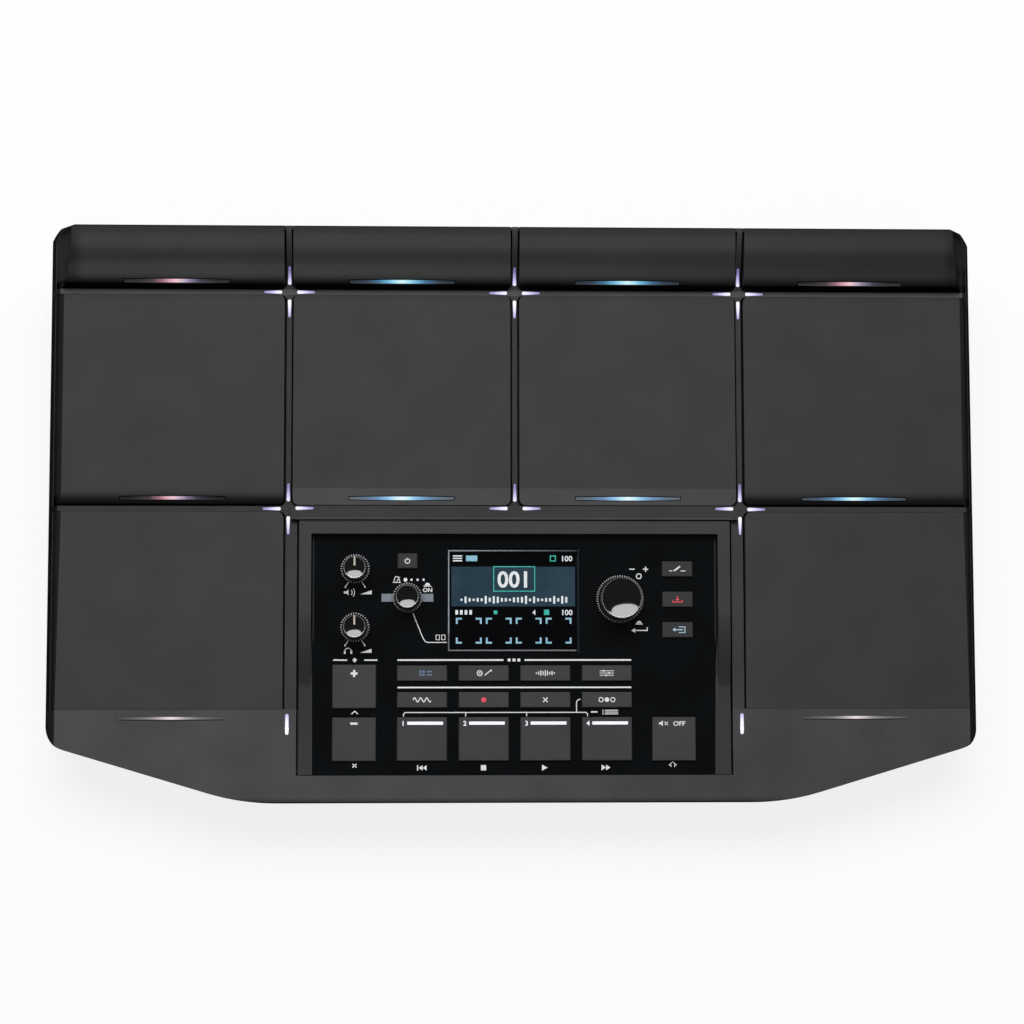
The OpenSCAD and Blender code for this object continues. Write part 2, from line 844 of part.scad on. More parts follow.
// Keys: middle and size of each
function column_x(i) = key_x0 + (i - 1) * key_pitch;
function mode_key(i) = [column_x(i), -mode_y, key_w, key_h];
function function_key(i) = [column_x(i), -function_y, key_w, key_h];
function loop_key(i) = [column_x(i), -loop_y, key_w, loop_h];
function small_key(i) = [small_key_x, -small_key_y - (i - 1) * small_key_pitch, small_key_w, key_h];
power_key = [power_x, -power_y, power_w, key_h];
plus_key = [square_left_x, -plus_y, square_key, square_key];
minus_key = [square_left_x, -minus_y, square_key, square_key];
sound_off_key = [square_right_x, -minus_y, square_key, square_key];
all_keys = concat(
  [for (i = [1:4]) each [mode_key(i), function_key(i), loop_key(i)]],
  [for (i = [1:3]) small_key(i)],
  [power_key, plus_key, minus_key, sound_off_key]
);

flange_top = panel_bottom - rest_gap;
flange_bottom = flange_top - 1;
switch_gap = 0.2;
switch_h = 4.8;
plunger_top = board_top + switch_h;
stem_bottom = plunger_top + key_travel + switch_gap;
module key_button(k, shade) {
  top = panel_top + key_proud;
  color(shade)
    on_deck() {
      intersection() {
        along_x(k.x - k[2] / 2, k.x + k[2] / 2)
          translate([k.y, 0])
            chamfered(k[3], flange_bottom, top);
        along_y(k.y - k[3] / 2, k.y + k[3] / 2)
          translate([k.x, 0])
            chamfered(k[2], flange_bottom, top);
      }
      slab(k.x, k.y, k[2] + 2 * key_flange, k[3] + 2 * key_flange, flange_bottom, flange_top);
      post(k.x, k.y, 4, stem_bottom, flange_bottom);
    }
}
module chamfered(w, z0, z1) {
  half = w / 2;
  polygon([
    [-half, z0], [half, z0], [half, z1 - key_chamfer],
    [half - key_chamfer, z1], [key_chamfer - half, z1], [-half, z1 - key_chamfer]
  ]);
}

// Knobs and what they turn
main_volume_at = [volume_x, -main_volume_y];
phones_at = [volume_x, -phones_y];
metronome_at = [metronome_x, -metronome_y];
value_at = [value_x, -value_y];
pot_spots = [main_volume_at, phones_at];
encoder_spots = [metronome_at, value_at];
shaft_spots = concat(pot_spots, encoder_spots);
bushing_d = shaft_d + 2 * shaft_gap + 1.6;
knob_bottom = panel_top + push_travel + 0.4;
body_h = 7;
body_w = 12;
body_top = board_top + body_h;
rotor_d = shaft_d + 4;
rotor_h = 3;
rotor_z = board_top + 2.4;
shaft_bottom = board_top + 1.2 + push_travel;

module knob(at, d, pointer) {
  top = knob_bottom + knob_h;
  teeth = round((d + 2 * skirt_out) * 2.8);
  r = d / 2;
  edge = 0.6;
  color([0.06, 0.06, 0.06])
    on_deck()
      translate([at.x, at.y, 0])
        difference() {
          union() {
            rotate_extrude()
              polygon([
                [0, knob_bottom], [r + skirt_out / 2, knob_bottom],
                [r + skirt_out / 2, knob_bottom + skirt_h], [r, knob_bottom + skirt_h],
                [r - 0.3, top - edge], [r - 0.3 - edge, top],
                [r - 1.2 - edge, top], [r - 1.5 - edge, top - 0.25], [0, top - 0.25]
              ]);
            translate([0, 0, knob_bottom])
              linear_extrude(skirt_h)
                toothed(r + skirt_out / 2, r + skirt_out, teeth);
            post(0, 0, shaft_d, shaft_bottom, knob_bottom + 1);
          }
          if (pointer)
            block(-0.5, 0.5, r - 6, r + cut, top - 0.5, top + cut);
        }
}
module toothed(r0, r1, n) {
  step = 360 / n;
  polygon([
    for (i = [0:n - 1], p = [[r0, 0], [r1, 0.2], [r1, 0.5], [r0, 0.7]])
      p[0] * [cos((i + p[1]) * step), sin((i + p[1]) * step)]
  ]);
}
module rotor(at) {
  color([0.75, 0.72, 0.6])
    on_deck()
      translate([at.x, at.y, 0])
        difference() {
          post(0, 0, rotor_d, rotor_z, rotor_z + rotor_h);
          post(0, 0, shaft_d + 2 * shaft_gap, rotor_z - cut, rotor_z + rotor_h + cut);
        }
}
module rotary_body(at) {
  difference() {
    union() {
      slab(at.x, at.y, body_w, body_w, board_top, body_top);
      post(at.x, at.y, bushing_d, body_top, panel_top);
    }
    post(at.x, at.y, shaft_d + 2 * shaft_gap, board_top + 1, panel_top + cut);
  }
}
module pot_and_encoder_bodies() {
  color([0.55, 0.56, 0.58])
    on_deck() {
      for (at = pot_spots)
        rotary_body(at);
      for (at = encoder_spots)
        difference() {
          rotary_body(at);
          post(at.x, at.y, rotor_d + 2 * shaft_gap, rotor_z - shaft_gap, rotor_z + rotor_h + shaft_gap);
        }
    }
}

// Control panel: a shallow tray, face up, with windows for all that shows
panel_post_d = 5;
post_in = panel_post_d / 2 + 1;
post_rear_y = board_rear_y - post_in;
beside_display = display_w / 2 + window_lap + panel_post_d;
panel_posts = [
  [2 * post_in - board_half, post_rear_y],
  [display_x - beside_display, post_rear_y],
  [display_x + beside_display, post_rear_y],
  [(value_x + body_w / 2 + small_key_x - small_key_w / 2 - key_flange) / 2, post_rear_y],
  [2 * post_in - board_half, square_key / 2 + key_flange + post_in - plus_y],
  [column_x(4) + key_w / 2, key_h / 2 + key_flange + post_in - mode_y],
  [(square_left_x + square_key / 2 + column_x(1) - key_w / 2) / 2, -minus_y],
  [(square_right_x - square_key / 2 + column_x(4) + key_w / 2) / 2, -minus_y]
];
module control_panel() {
  color([0.04, 0.045, 0.05])
    on_deck()
      difference() {
        union() {
          difference() {
            block(-panel_half, panel_half, panel_front_y, panel_rear_y, -ledge_drop, panel_top);
            block(
              panel_skirt - panel_half, panel_half - panel_skirt,
              panel_front_y + panel_skirt, panel_rear_y - panel_skirt,
              -ledge_drop - cut, panel_bottom
            );
          }
          for (p = panel_posts)
            post(p.x, p.y, panel_post_d, board_top, panel_bottom);
        }
        for (k = all_keys)
          slab(k.x, k.y, k[2] + 2 * key_gap, k[3] + 2 * key_gap, panel_bottom - cut, panel_top + cut);
        for (at = shaft_spots)
          post(at.x, at.y, bushing_d + 2 * set_gap, panel_bottom - cut, panel_top + cut);
        slab(display_x, -display_y, display_w, display_h, panel_bottom - cut, panel_top + cut);
        display_bevels();
        lamp_windows(set_gap, panel_bottom - cut, panel_top + cut);
      }
}
module display_bevels() {
  half_x = display_w / 2;
  half_y = display_h / 2;
  b = display_bevel;
  intersection() {
    along_x(display_x - half_x - b, display_x + half_x + b)
      translate([-display_y, 0])
        bevel_profile(half_y, b);
    along_y(-display_y - half_y - b, -display_y + half_y + b)
      translate([display_x, 0])
        bevel_profile(half_x, b);
  }
}
module bevel_profile(half, b) {
  polygon([
    [-half, panel_top - b], [half, panel_top - b],
    [half + b, panel_top], [-half - b, panel_top]
  ]);
}
module lamp_windows(grow, z0, z1) {
  inner = bushing_d / 2 + 1.4;
  outer = lamp_len / 2;
  for (s = [-1, 1])
    slab(
      metronome_x + s * (inner + outer) / 2, -metronome_y,
      outer - inner + 2 * grow, lamp_w + 2 * grow, z0, z1
    );
}
module metronome_lamp() {
  color([0.62, 0.63, 0.66])
    on_deck()
      lamp_windows(0, panel_bottom - 1, panel_top - 0.1);
}

module display_window() {
  color([0.1, 0.12, 0.15])
    on_deck()
      slab(
        display_x, -display_y, display_w + 2 * window_lap, display_h + 2 * window_lap,
        panel_bottom - window_t, panel_bottom
      );
}
module display_module() {
  color([0.2, 0.35, 0.45])
    on_deck()
      slab(
        display_x, -display_y, display_w + 2 * window_lap, display_h + 2 * window_lap,
        board_top, panel_bottom - window_t
      );
}
module panel_board() {
  color([0.1, 0.35, 0.2])
    on_deck()
      block(-board_half, board_half, board_front_y, board_rear_y, board_top - board_t, board_top);
}
module tact_switches() {
  color([0.12, 0.12, 0.12])
    on_deck()
      for (k = all_keys) {
        slab(k.x, k.y, 6, 6, board_top, board_top + 3.5);
        post(k.x, k.y, 3.4, board_top + 3.5, plunger_top);
      }
}

// Steel plate under the pads, cut out around the control panel
plate_half = flank_x(plate_bottom) - wall - 2 * rest_gap;
plate_front_y = lower_front_y - strip_w;
module pad_plate() {
  hole = boss_d + 2 * rest_gap;
  color([0.62, 0.63, 0.64])
    difference() {
      on_deck()
        difference() {
          intersection() {
            block(-plate_half, plate_half, plate_front_y, well_rear, plate_bottom, well_z);
            translate([0, 0, -lip_drop])
              linear_extrude(lip_drop)
                case_outline(wall + 2 * rest_gap);
          }
          block(
            -bay_half - strip_w, bay_half + strip_w,
            plate_front_y - cut, -half_strip, plate_bottom - cut, cut
          );
          for (x = led_xs, y = [bar_line, 0])
            slab(x, y, led_w + 2 * rest_gap, led_w + 2 * rest_gap, plate_bottom - cut, cut);
        }
      intersection() {
        at_screws() cylinder(d = hole, h = 2 * deck_h);
        above_rim(plate_bottom - cut, cut);
      }
    }
}
// Foam and sensor under each pad, clear of the lights
function pad_cells() = concat(
  [for (i = [1:4]) [i, bar_lens_y + lens_mid + 1, foam_rear_y]],
  [for (i = [1:4]) [i, upper_lens_y + lens_mid + 1, upper_rear_y]]
);
module cell_blocks(inset, z0, z1) {
  edge = side_gap + inset;
  for (c = pad_cells())
    block(
      max(pad_left(c[0]), -well_half) + edge, min(pad_right(c[0]), well_half) - edge,
      c[1], c[2] - inset, z0, z1
    );
  for (s = [0, 1])
    mirror([s, 0, 0])
      block(lower_in + edge, well_half - edge, lower_front_y + end_gap + edge, lower_rear_y - edge, z0, z1);
}
module pad_cushions() {
  color([0.3, 0.3, 0.32])
    on_deck()
      cell_blocks(1, cushion_bottom, cushion_top);
}
module pad_sensors() {
  color([0.7, 0.6, 0.3])
    on_deck()
      cell_blocks(6, well_z, cushion_bottom);
}

// Light emitters under the hubs, on two strips of board below the plate
led_w = 3;
led_board_d = 10;
led_board_end = pad_pitch + 2 * led_board_d;
led_xs = [for (i = [1:3]) strip_x(i)];
module led_boards() {
  color([0.9, 0.9, 0.86])
    on_deck()
      for (y = [bar_line, 0]) {
        slab(0, y, 2 * led_board_end, led_board_d, plate_bottom - board_t, plate_bottom);
        for (x = led_xs)
          slab(x, y, led_w, led_w, plate_bottom, well_z - set_gap);
      }
}

// Bottom case: flange under the lip and a keel down to the floor
function world_path(d) = [
  for (p = case_path(d)) [p.x, deck_y + p.y * cos(deck_slope) + lip_drop * sin(deck_slope)]
];
keel_top_z = deck_h + rear_lip * sin(deck_slope);
module keel(d, z0) {
  intersection() {
    translate([0, 0, z0])
      linear_extrude(keel_top_z)
        polygon(world_path(keel_inset + d));
    along_y(-case_w, case_w)
      polygon([
        [keel_draw + d - keel_half, floor_z], [keel_half - keel_draw - d, floor_z],
        [keel_half - d, deck_h], [keel_half - d, 2 * deck_h],
        [d - keel_half, 2 * deck_h], [d - keel_half, deck_h]
      ]);
  }
}
rear_wall_y = deck_y + (rear_lip - keel_inset) * cos(deck_slope) + lip_drop * sin(deck_slope);
rear_inner_y = rear_wall_y - wall;
module bottom_case() {
  color([0.13, 0.13, 0.14])
    difference() {
      union() {
        difference() {
          union() {
            intersection() {
              keel(0, floor_z);
              above_rim(-2 * case_w, -lip_drop);
            }
            on_deck()
              translate([0, 0, -lip_drop - flange_t])
                linear_extrude(flange_t)
                  case_outline(0.4);
          }
          keel(wall, floor_top);
        }
        intersection() {
          at_screws() post(0, 0, boss_d + 2, floor_z, 2 * deck_h);
          above_rim(-2 * case_w, -lip_drop);
        }
        for (p = stand_spots)
          post(p.x, p.y, stand_boss_d, floor_z, floor_z + insert_h + 2);
        for (p = concat(main_posts, jack_posts))
          post(p.x, p.y, 6, floor_z, p.z);
      }
      at_screws() {
        post(0, 0, screw_d + 2 * rest_gap, floor_z - cut, 2 * deck_h);
        post(0, 0, head_d + 2 * rest_gap, floor_z - cut, head_z);
      }
      for (p = stand_spots)
        post(p.x, p.y, insert_d, floor_z - cut, floor_z + insert_h);
      socket_cuts();
    }
}
module socket_cuts() {
  for (i = [0:5])
    rear_hole(jack_x0 + i * jack_pitch, jack_collar + 2 * set_gap);
  for (i = [0, 1])
    rear_hole(midi_x0 - i * midi_pitch, midi_d + 2 * set_gap);
  rear_hole(dc_x, dc_d + 2 * set_gap);
  block(
    usb_x - usb_w / 2 - set_gap, usb_x + usb_w / 2 + set_gap, rear_inner_y - cut, rear_wall_y + cut,
    socket_z - usb_h / 2 - set_gap, socket_z + usb_h / 2 + set_gap
  );
}
module rear_hole(x, d) {
  translate([x, rear_wall_y + cut, socket_z])
    rotate([90, 0, 0])
      cylinder(d = d, h = wall + 2 * cut);
}

// Screws, inserts and feet
head_d = 5.6;
head_h = 2;
head_z = floor_z + 6;
module case_screws() {
  tip = screw_top_z - 1;
  color([0.2, 0.2, 0.21])
    intersection() {
      at_screws() {
        post(0, 0, head_d, head_z - head_h, head_z);
        post(0, 0, screw_d - 2 * set_gap, head_z - head_h, 2 * deck_h);
      }
      above_rim(-2 * case_w, tip);
    }
}
insert_d = 8;
insert_h = 10;
stand_boss_d = insert_d + 5;
stand_spots = [for (x = [-1, 1], y = [-1, 1]) [x * stand_x / 2, y * stand_y / 2]];
module stand_inserts() {
  color([0.72, 0.58, 0.28])
    for (p = stand_spots)
      difference() {
        post(p.x, p.y, insert_d, floor_z, floor_z + insert_h);
        post(p.x, p.y, stand_bore, floor_z - cut, floor_z + insert_h + cut);
      }
}
module rubber_feet() {
  r = foot_d / 2;
  color([0.09, 0.09, 0.09])
    for (x = [-foot_x, foot_x], y = [-foot_y, foot_y])
      translate([x, y, 0])
        rotate_extrude()
          polygon([[0, 0], [r - 1.5, 0], [r - 0.5, 1], [r, foot_h], [0, foot_h]]);
}

// Boards in the bottom case, each on its posts
main_board_z = floor_z + insert_h + 4;
main_w = 196;
main_d = 70;
main_mid_y = -21;
post_inset = 6;
main_posts = [
  for (sx = [-1, 1], sy = [-1, 1])
    [sx * (main_w / 2 - post_inset), main_mid_y + sy * (main_d / 2 - post_inset), main_board_z]
];
// Chips on the main board: middle, width, depth and height of each
chips = [[-40, -20, 24, 24, 2], [10, -30, 14, 20, 1.5], [50, 0, 12, 12, 1.5]];
module main_board() {
  top = main_board_z + board_t;
  color([0.1, 0.35, 0.2]) {
    slab(0, main_mid_y, main_w, main_d, main_board_z, top);
    for (c = chips)
      slab(c.x, c.y, c[2], c[3], top, top + c[4]);
  }
}
jack_body_w = 15;
jack_body_h = 13;
jack_body_l = 24;
jack_board_z = socket_z - jack_body_h / 2 - board_t;
jack_rear_y = rear_inner_y - 1;
jack_board_d = 36;
jack_board_x = [dc_x - 18, jack_x0 + 5 * jack_pitch + 20];
usb_post = 30;
midi_post = 54;
jack_post_x = [
  jack_board_x[0] + post_inset, usb_x + usb_post,
  midi_x0 + midi_post, jack_board_x[1] - post_inset
];
jack_posts = [for (x = jack_post_x) [x, jack_rear_y - jack_board_d + post_inset, jack_board_z]];
module jack_board() {
  color([0.1, 0.35, 0.2])
    block(
      jack_board_x[0], jack_board_x[1], jack_rear_y - jack_board_d, jack_rear_y,
      jack_board_z, jack_board_z + board_t
    );
}
module socket_bar(d, y0, y1) {
  translate([0, y1, socket_z])
    rotate([90, 0, 0])
      cylinder(d = d, h = y1 - y0);
}
collar_out = 1.2;
module audio_jacks() {
  color([0.08, 0.08, 0.08])
    for (i = [0:5])
      translate([jack_x0 + i * jack_pitch, 0, 0])
        difference() {
          union() {
            block(
              -jack_body_w / 2, jack_body_w / 2, rear_inner_y - jack_body_l, rear_inner_y,
              jack_board_z + board_t, jack_board_z + board_t + jack_body_h
            );
            socket_bar(jack_collar, rear_inner_y, rear_wall_y + collar_out);
          }
          socket_bar(jack_bore, rear_inner_y - jack_body_l + 3, rear_wall_y + collar_out + cut);
        }
}
midi_d = 15.2;
midi_body = [20, 12, 9.5];
midi_slot_d = 13;
midi_core_d = 11;
midi_depth = 8;
midi_core_in = 0.8;
module midi_sockets() {
  face = rear_wall_y + 0.6;
  color([0.1, 0.1, 0.1])
    for (i = [0, 1])
      translate([midi_x0 - i * midi_pitch, 0, 0])
        difference() {
          union() {
            block(
              -midi_body.x / 2, midi_body.x / 2, rear_inner_y - midi_body.y, rear_inner_y,
              jack_board_z + board_t, socket_z + midi_body.z
            );
            socket_bar(midi_d, rear_inner_y, face);
          }
          difference() {
            socket_bar(midi_slot_d, face - midi_depth, face + cut);
            socket_bar(midi_core_d, face - midi_depth - cut, face - midi_core_in);
          }
        }
}
usb_w = 12;
usb_h = 11;
usb_l = 14;
usb_mouth = [8.6, 9, 8];
usb_tongue = [5.6, 7.5, 3.2];
module usb_socket() {
  face = rear_wall_y + 0.4;
  color([0.72, 0.73, 0.74])
    translate([usb_x, 0, 0]) {
      difference() {
        block(
          -usb_w / 2, usb_w / 2, rear_inner_y - usb_l, face,
          socket_z - usb_h / 2, socket_z + usb_h / 2
        );
        block(
          -usb_mouth.x / 2, usb_mouth.x / 2, face - usb_mouth.y, face + cut,
          socket_z - usb_mouth.z / 2, socket_z + usb_mouth.z / 2
        );
      }
      block(
        -usb_tongue.x / 2, usb_tongue.x / 2, face - usb_mouth.y, face - usb_mouth.y + usb_tongue.y,
        socket_z - usb_tongue.z / 2, socket_z + usb_tongue.z / 2
      );
      block(-usb_w / 2, usb_w / 2, rear_inner_y - usb_l, rear_inner_y, jack_board_z + board_t, socket_z);
    }
}
dc_d = 9;
dc_bore = 6.4;
dc_pin = 2;
dc_depth = 10;
dc_body = [10, 13, 5.5];
module dc_inlet() {
  face = rear_wall_y + 0.4;
  color([0.09, 0.09, 0.09])
    translate([dc_x, 0, 0]) {
      difference() {
        union() {
          block(
            -dc_body.x / 2, dc_body.x / 2, rear_inner_y - dc_body.y, rear_inner_y,
            jack_board_z + board_t, socket_z + dc_body.z
          );
          socket_bar(dc_d, rear_inner_y, face);
        }
        socket_bar(dc_bore, face - dc_depth, face + cut);
      }
      socket_bar(dc_pin, face - dc_depth, face - cut);
    }
}

key_grey = [0.28, 0.28, 0.29];

top_case();
bottom_case();
panel_hood();
control_panel();
display_window();
display_module();
metronome_lamp();
cross_light_guides();
pad_light_lenses();
pad_plate();
pad_cushions();
pad_sensors();
led_boards();
panel_board();
tact_switches();
pot_and_encoder_bodies();
main_board();
jack_board();
audio_jacks();
midi_sockets();
usb_socket();
dc_inlet();
rubber_feet();
case_screws();
stand_inserts();
for (i = [1:4]) {
  bar_pad(i);
  upper_pad(i);
  key_button(mode_key(i), key_grey);
  key_button(function_key(i), key_grey);
  key_button(loop_key(i), key_grey);
}
lower_pad(-1);  // lower_pad_left
lower_pad(1);  // lower_pad_right
knob(main_volume_at, volume_d, true);  // main_volume_knob
knob(phones_at, volume_d, true);  // phones_knob
rotor(metronome_at);  // metronome_rotor
knob(metronome_at, metronome_d, false);  // metronome_knob
rotor(value_at);  // value_rotor
knob(value_at, value_d, false);  // value_knob
key_button(power_key, key_grey);  // power_button
key_button(plus_key, key_grey);  // plus_button
key_button(minus_key, key_grey);  // minus_button
key_button(sound_off_key, key_grey);  // sound_off_button
key_button(small_key(1), key_grey);  // edit_button
key_button(small_key(2), key_grey);  // write_button
key_button(small_key(3), key_grey);  // exit_button
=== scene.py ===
import json
import math

import bmesh
import bpy
from mathutils import Matrix, Vector


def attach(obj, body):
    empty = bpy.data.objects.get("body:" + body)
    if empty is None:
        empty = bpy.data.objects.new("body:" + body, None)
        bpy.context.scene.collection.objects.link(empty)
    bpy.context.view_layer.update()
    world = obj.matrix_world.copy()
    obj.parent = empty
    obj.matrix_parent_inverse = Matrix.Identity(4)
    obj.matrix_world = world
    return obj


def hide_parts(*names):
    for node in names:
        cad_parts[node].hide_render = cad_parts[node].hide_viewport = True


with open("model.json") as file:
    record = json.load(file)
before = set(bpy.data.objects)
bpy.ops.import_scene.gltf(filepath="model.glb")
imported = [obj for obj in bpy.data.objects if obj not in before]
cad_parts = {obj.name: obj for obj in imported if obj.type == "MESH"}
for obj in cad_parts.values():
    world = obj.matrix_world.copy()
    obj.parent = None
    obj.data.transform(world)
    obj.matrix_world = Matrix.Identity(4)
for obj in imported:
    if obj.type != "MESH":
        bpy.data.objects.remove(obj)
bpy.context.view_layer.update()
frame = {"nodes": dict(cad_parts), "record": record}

# The deck frame of the part: x right, y back from the middle line of pads, z out of the deck, in mm
MM = 0.001
SLOPE = math.radians(5.5)
DECK_Y, DECK_H = -0.19577, 54.0
DECK = Matrix.Translation((0, DECK_Y * MM, DECK_H * MM)) @ Matrix.Rotation(SLOPE, 4, "X")
WORLD = Matrix.Identity(4)

# Heights in the deck frame of the panel, the keys and the display window, and the thickness of a print
PANEL_Z, KEY_Z, WINDOW_Z = -1.0, 0.5, -3.5
PRINT = 0.04

# Lines on the deck: rear edge of the apron, strips left and right and behind, start of the flanks,
# front of the upper pads' hatch, front of the bars
APRON_Y = -98.9
STRIP_X, STRIP_Y = 112.2, 108.5
FLANK_X = 222.0
HATCH_Y = 9.9
BAR_Y = 108.0

# The rear wall of the base and the line of its sockets, level with the table
REAR_WALL_Y, SOCKET_Z = 137.287, 26.0

BLACK = (0.0, 0.0, 0.0)
CASE = (0.068, 0.068, 0.0695)
RUBBER = (0.0455, 0.0457, 0.046)

# Gloss of case and pads, and the share of their tone that the painted shade leaves on the flanks
SOFT_GLOSS = 0.2
FLANK_SHADED_SHARE = 0.37

# Tones of the smooth rubber against the hatched faces: bands, rolled fronts and bars
BAND, ROLLED, BAR = 1.45, 0.98, 0.82

# Painted shade fore and aft, as pairs of y and factor: over the rolled fronts of the outer pads,
# the rails of the hood, and the rear strip with the bars
ROLL_SHADE = ((2.8, 0.03), (3.8, 0.055), (4.8, 0.18), (5.6, 0.38), (6.5, 0.66), (7.5, 0.88), (8.6, 1.0))
HOOD_SHADE = ((-88.2, 1.0), (-87.2, 0.6), (-81.0, 0.54), (-70.0, 0.6), (-55.0, 0.7), (-51.0, 1.0))
BAR_SHADE = ((103.5, 1.0), (105.8, 0.87), (106.8, 0.6), (109.5, 0.6), (110.0, 0.13), (111.7, 0.16),
            (112.7, 0.26), (113.5, 0.56), (114.5, 0.85), (115.5, 0.9), (121.0, 0.95), (127.0, 1.0),
            (131.5, 1.0), (135.0, 0.8), (137.2, 0.4), (140.3, 0.28), (140.7, 0.9))

scene = bpy.context.scene


# Node materials

def add_node(tree, kind, inputs=(), out=0, **props):
    """A new node, its inputs set or linked. Gives back one of its outputs."""
    n = tree.nodes.new(kind)
    for k, v in props.items():
        setattr(n, k, v)
    for k, v in dict(inputs).items():
        if isinstance(v, bpy.types.NodeSocket):
            tree.links.new(v, n.inputs[k])
        else:
            n.inputs[k].default_value = v
    return n.outputs[out]


class Mat:
    """A material under construction: short calls add nodes and link them."""

    def __init__(self, name, color, rough, spec=0.5):
        self.m = bpy.data.materials.new(name)
        self.m.use_nodes = True
        self.t = self.m.node_tree
        self.b = self.t.nodes["Principled BSDF"]
        self.m.diffuse_color = (*color, 1)
        self.set("Base Color", (*color, 1))
        self.set("Roughness", rough)
        self.set("Specular IOR Level", spec)

    def set(self, name, value):
        s = self.b.inputs[name]
        if isinstance(value, bpy.types.NodeSocket):
            self.t.links.new(value, s)
        else:
            s.default_value = value

    def node(self, kind, inputs=(), out=0, **props):
        return add_node(self.t, kind, inputs, out, **props)

    def math(self, op, a, b=0.0, c=0.0):
        return self.node("ShaderNodeMath", {0: a, 1: b, 2: c}, operation=op)

    def times(self, first, *others):
        """The product of the values."""
        for value in others:
            first = self.math("MULTIPLY", first, value)
        return first

    def rest(self, value):
        """What a share leaves of the whole."""
        return self.math("SUBTRACT", 1.0, value)

    def size(self, value):
        """The value without its sign."""
        return self.math("ABSOLUTE", value)

    def deck(self):
        """Place on the surface in the deck frame, in mm, as separate x, y and z."""
        sep = self.t.nodes.new("ShaderNodeSeparateXYZ")
        self.t.links.new(self.deck_vector(), sep.inputs[0])
        return sep.outputs

    def deck_vector(self):
        co = self.node("ShaderNodeTexCoord", out="Object")
        return self.node("ShaderNodeMapping", {
            "Vector": co, "Location": (0, DECK_Y * MM, DECK_H * MM),
            "Rotation": (SLOPE, 0, 0), "Scale": (MM, MM, MM)}, vector_type="TEXTURE")

    def facing(self):
        """How far the surface looks out of the deck: 1 flat on it, 0 on a side wall."""
        out = self.node("ShaderNodeNewGeometry", out="Normal")
        return self.node("ShaderNodeVectorMath", {0: out, 1: (0, -math.sin(SLOPE), math.cos(SLOPE))},
                         out="Value", operation="DOT_PRODUCT")

    def matt_sides(self, spec):
        """Gloss of a face: the written one on the deck and on upright walls, none on the slopes between."""
        facing = self.facing()
        on_deck = self.span(facing, 0.5, 0.9, 0.0, spec)
        upright = self.span(facing, 0.1, 0.0, 0.0, spec)
        return self.math("ADD", on_deck, upright)

    def flank_shade(self, ax):
        """Painted shade on the outer side walls: dark where they fall away from the deck, none where they stand
        upright.
        """
        facing = self.facing()
        fall = self.times(self.span(facing, 0.9, 0.5, 0.0, 1.0 - FLANK_SHADED_SHARE), self.span(facing, 0.02, 0.12))
        return self.rest(self.times(fall, self.span(ax, FLANK_X - 6.0, FLANK_X)))

    def noise(self, scale, detail=2.0, at=None):
        at = at or self.deck_vector()
        return self.node("ShaderNodeTexNoise", {"Vector": at, "Scale": scale, "Detail": detail}, out="Fac")

    def ramp(self, fac, stops):
        n = self.t.nodes.new("ShaderNodeValToRGB")
        self.t.links.new(fac, n.inputs[0])
        e = n.color_ramp.elements
        while len(e) < len(stops):
            e.new(0.5)
        for el, (p, c) in zip(e, stops):
            el.position = p
            el.color = (*c, 1)
        return n.outputs[0]

    def profile(self, value, stops):
        """A factor that follows pairs of value and factor. The last step turns the ramp's grey into a number."""
        lo, hi = stops[0][0], stops[-1][0]
        fac = self.math("DIVIDE", self.math("SUBTRACT", value, lo), hi - lo)
        tone = self.ramp(fac, [((at - lo) / (hi - lo), (k, k, k)) for at, k in stops])
        return self.math("MULTIPLY", tone, 1.0)

    def span(self, value, lo, hi, a=0.0, b=1.0):
        """A soft step from a to b while the value goes from lo to hi."""
        return self.node("ShaderNodeMapRange", {0: value, 1: lo, 2: hi, 3: a, 4: b},
                         interpolation_type="SMOOTHSTEP")

    def mix(self, fac, a, b):
        n = self.t.nodes.new("ShaderNodeMix")
        n.data_type = "RGBA"
        for k, v in ((0, fac), (6, a), (7, b)):
            if isinstance(v, bpy.types.NodeSocket):
                self.t.links.new(v, n.inputs[k])
            else:
                n.inputs[k].default_value = v if k == 0 else (*v, 1)
        return n.outputs[2]

    def scaled(self, tone, factor):
        return self.node("ShaderNodeVectorMath", {0: tone, "Scale": factor}, operation="SCALE")

    def bump(self, height, strength, distance):
        return self.node("ShaderNodeBump", {"Height": height, "Strength": strength, "Distance": distance})


def shade(c, k):
    return tuple(min(1.0, v * k) for v in c)


def tone8(r, g, b):
    """A colour from 0 to 255 as it shows, in the linear values of the shader."""
    return tuple(v / 3294.6 if v <= 10 else ((v / 255 + 0.055) / 1.055) ** 2.4 for v in (r, g, b))


def grained(name, color, rough, grain=3.0, depth=0.00004, spec=0.5, mottle=0.12, speck=0.06, along=None):
    """Moulded plastic: fine spark grain, cloudy tone, a few light specks. The tone may carry painted shade fore and
    aft.
    """
    m = Mat(name, color, rough, spec)
    cloud = m.noise(0.035, 3.0)
    fine = m.noise(grain, 2.0)
    tone = m.mix(m.span(cloud, 0.3, 0.7), shade(color, 1 - mottle), shade(color, 1 + mottle))
    specks = m.span(m.noise(grain * 0.7, 1.0), 0.66, 0.78, 0.0, speck * 4)
    tone = m.mix(specks, tone, shade(color, 2.2))
    if along:
        tone = m.scaled(tone, m.profile(m.deck()[1], along))
    m.set("Base Color", tone)
    m.set("Roughness", m.span(fine, 0.25, 0.75, rough - 0.07, rough + 0.07))
    m.set("Normal", m.bump(fine, 0.55, depth))
    return m.m


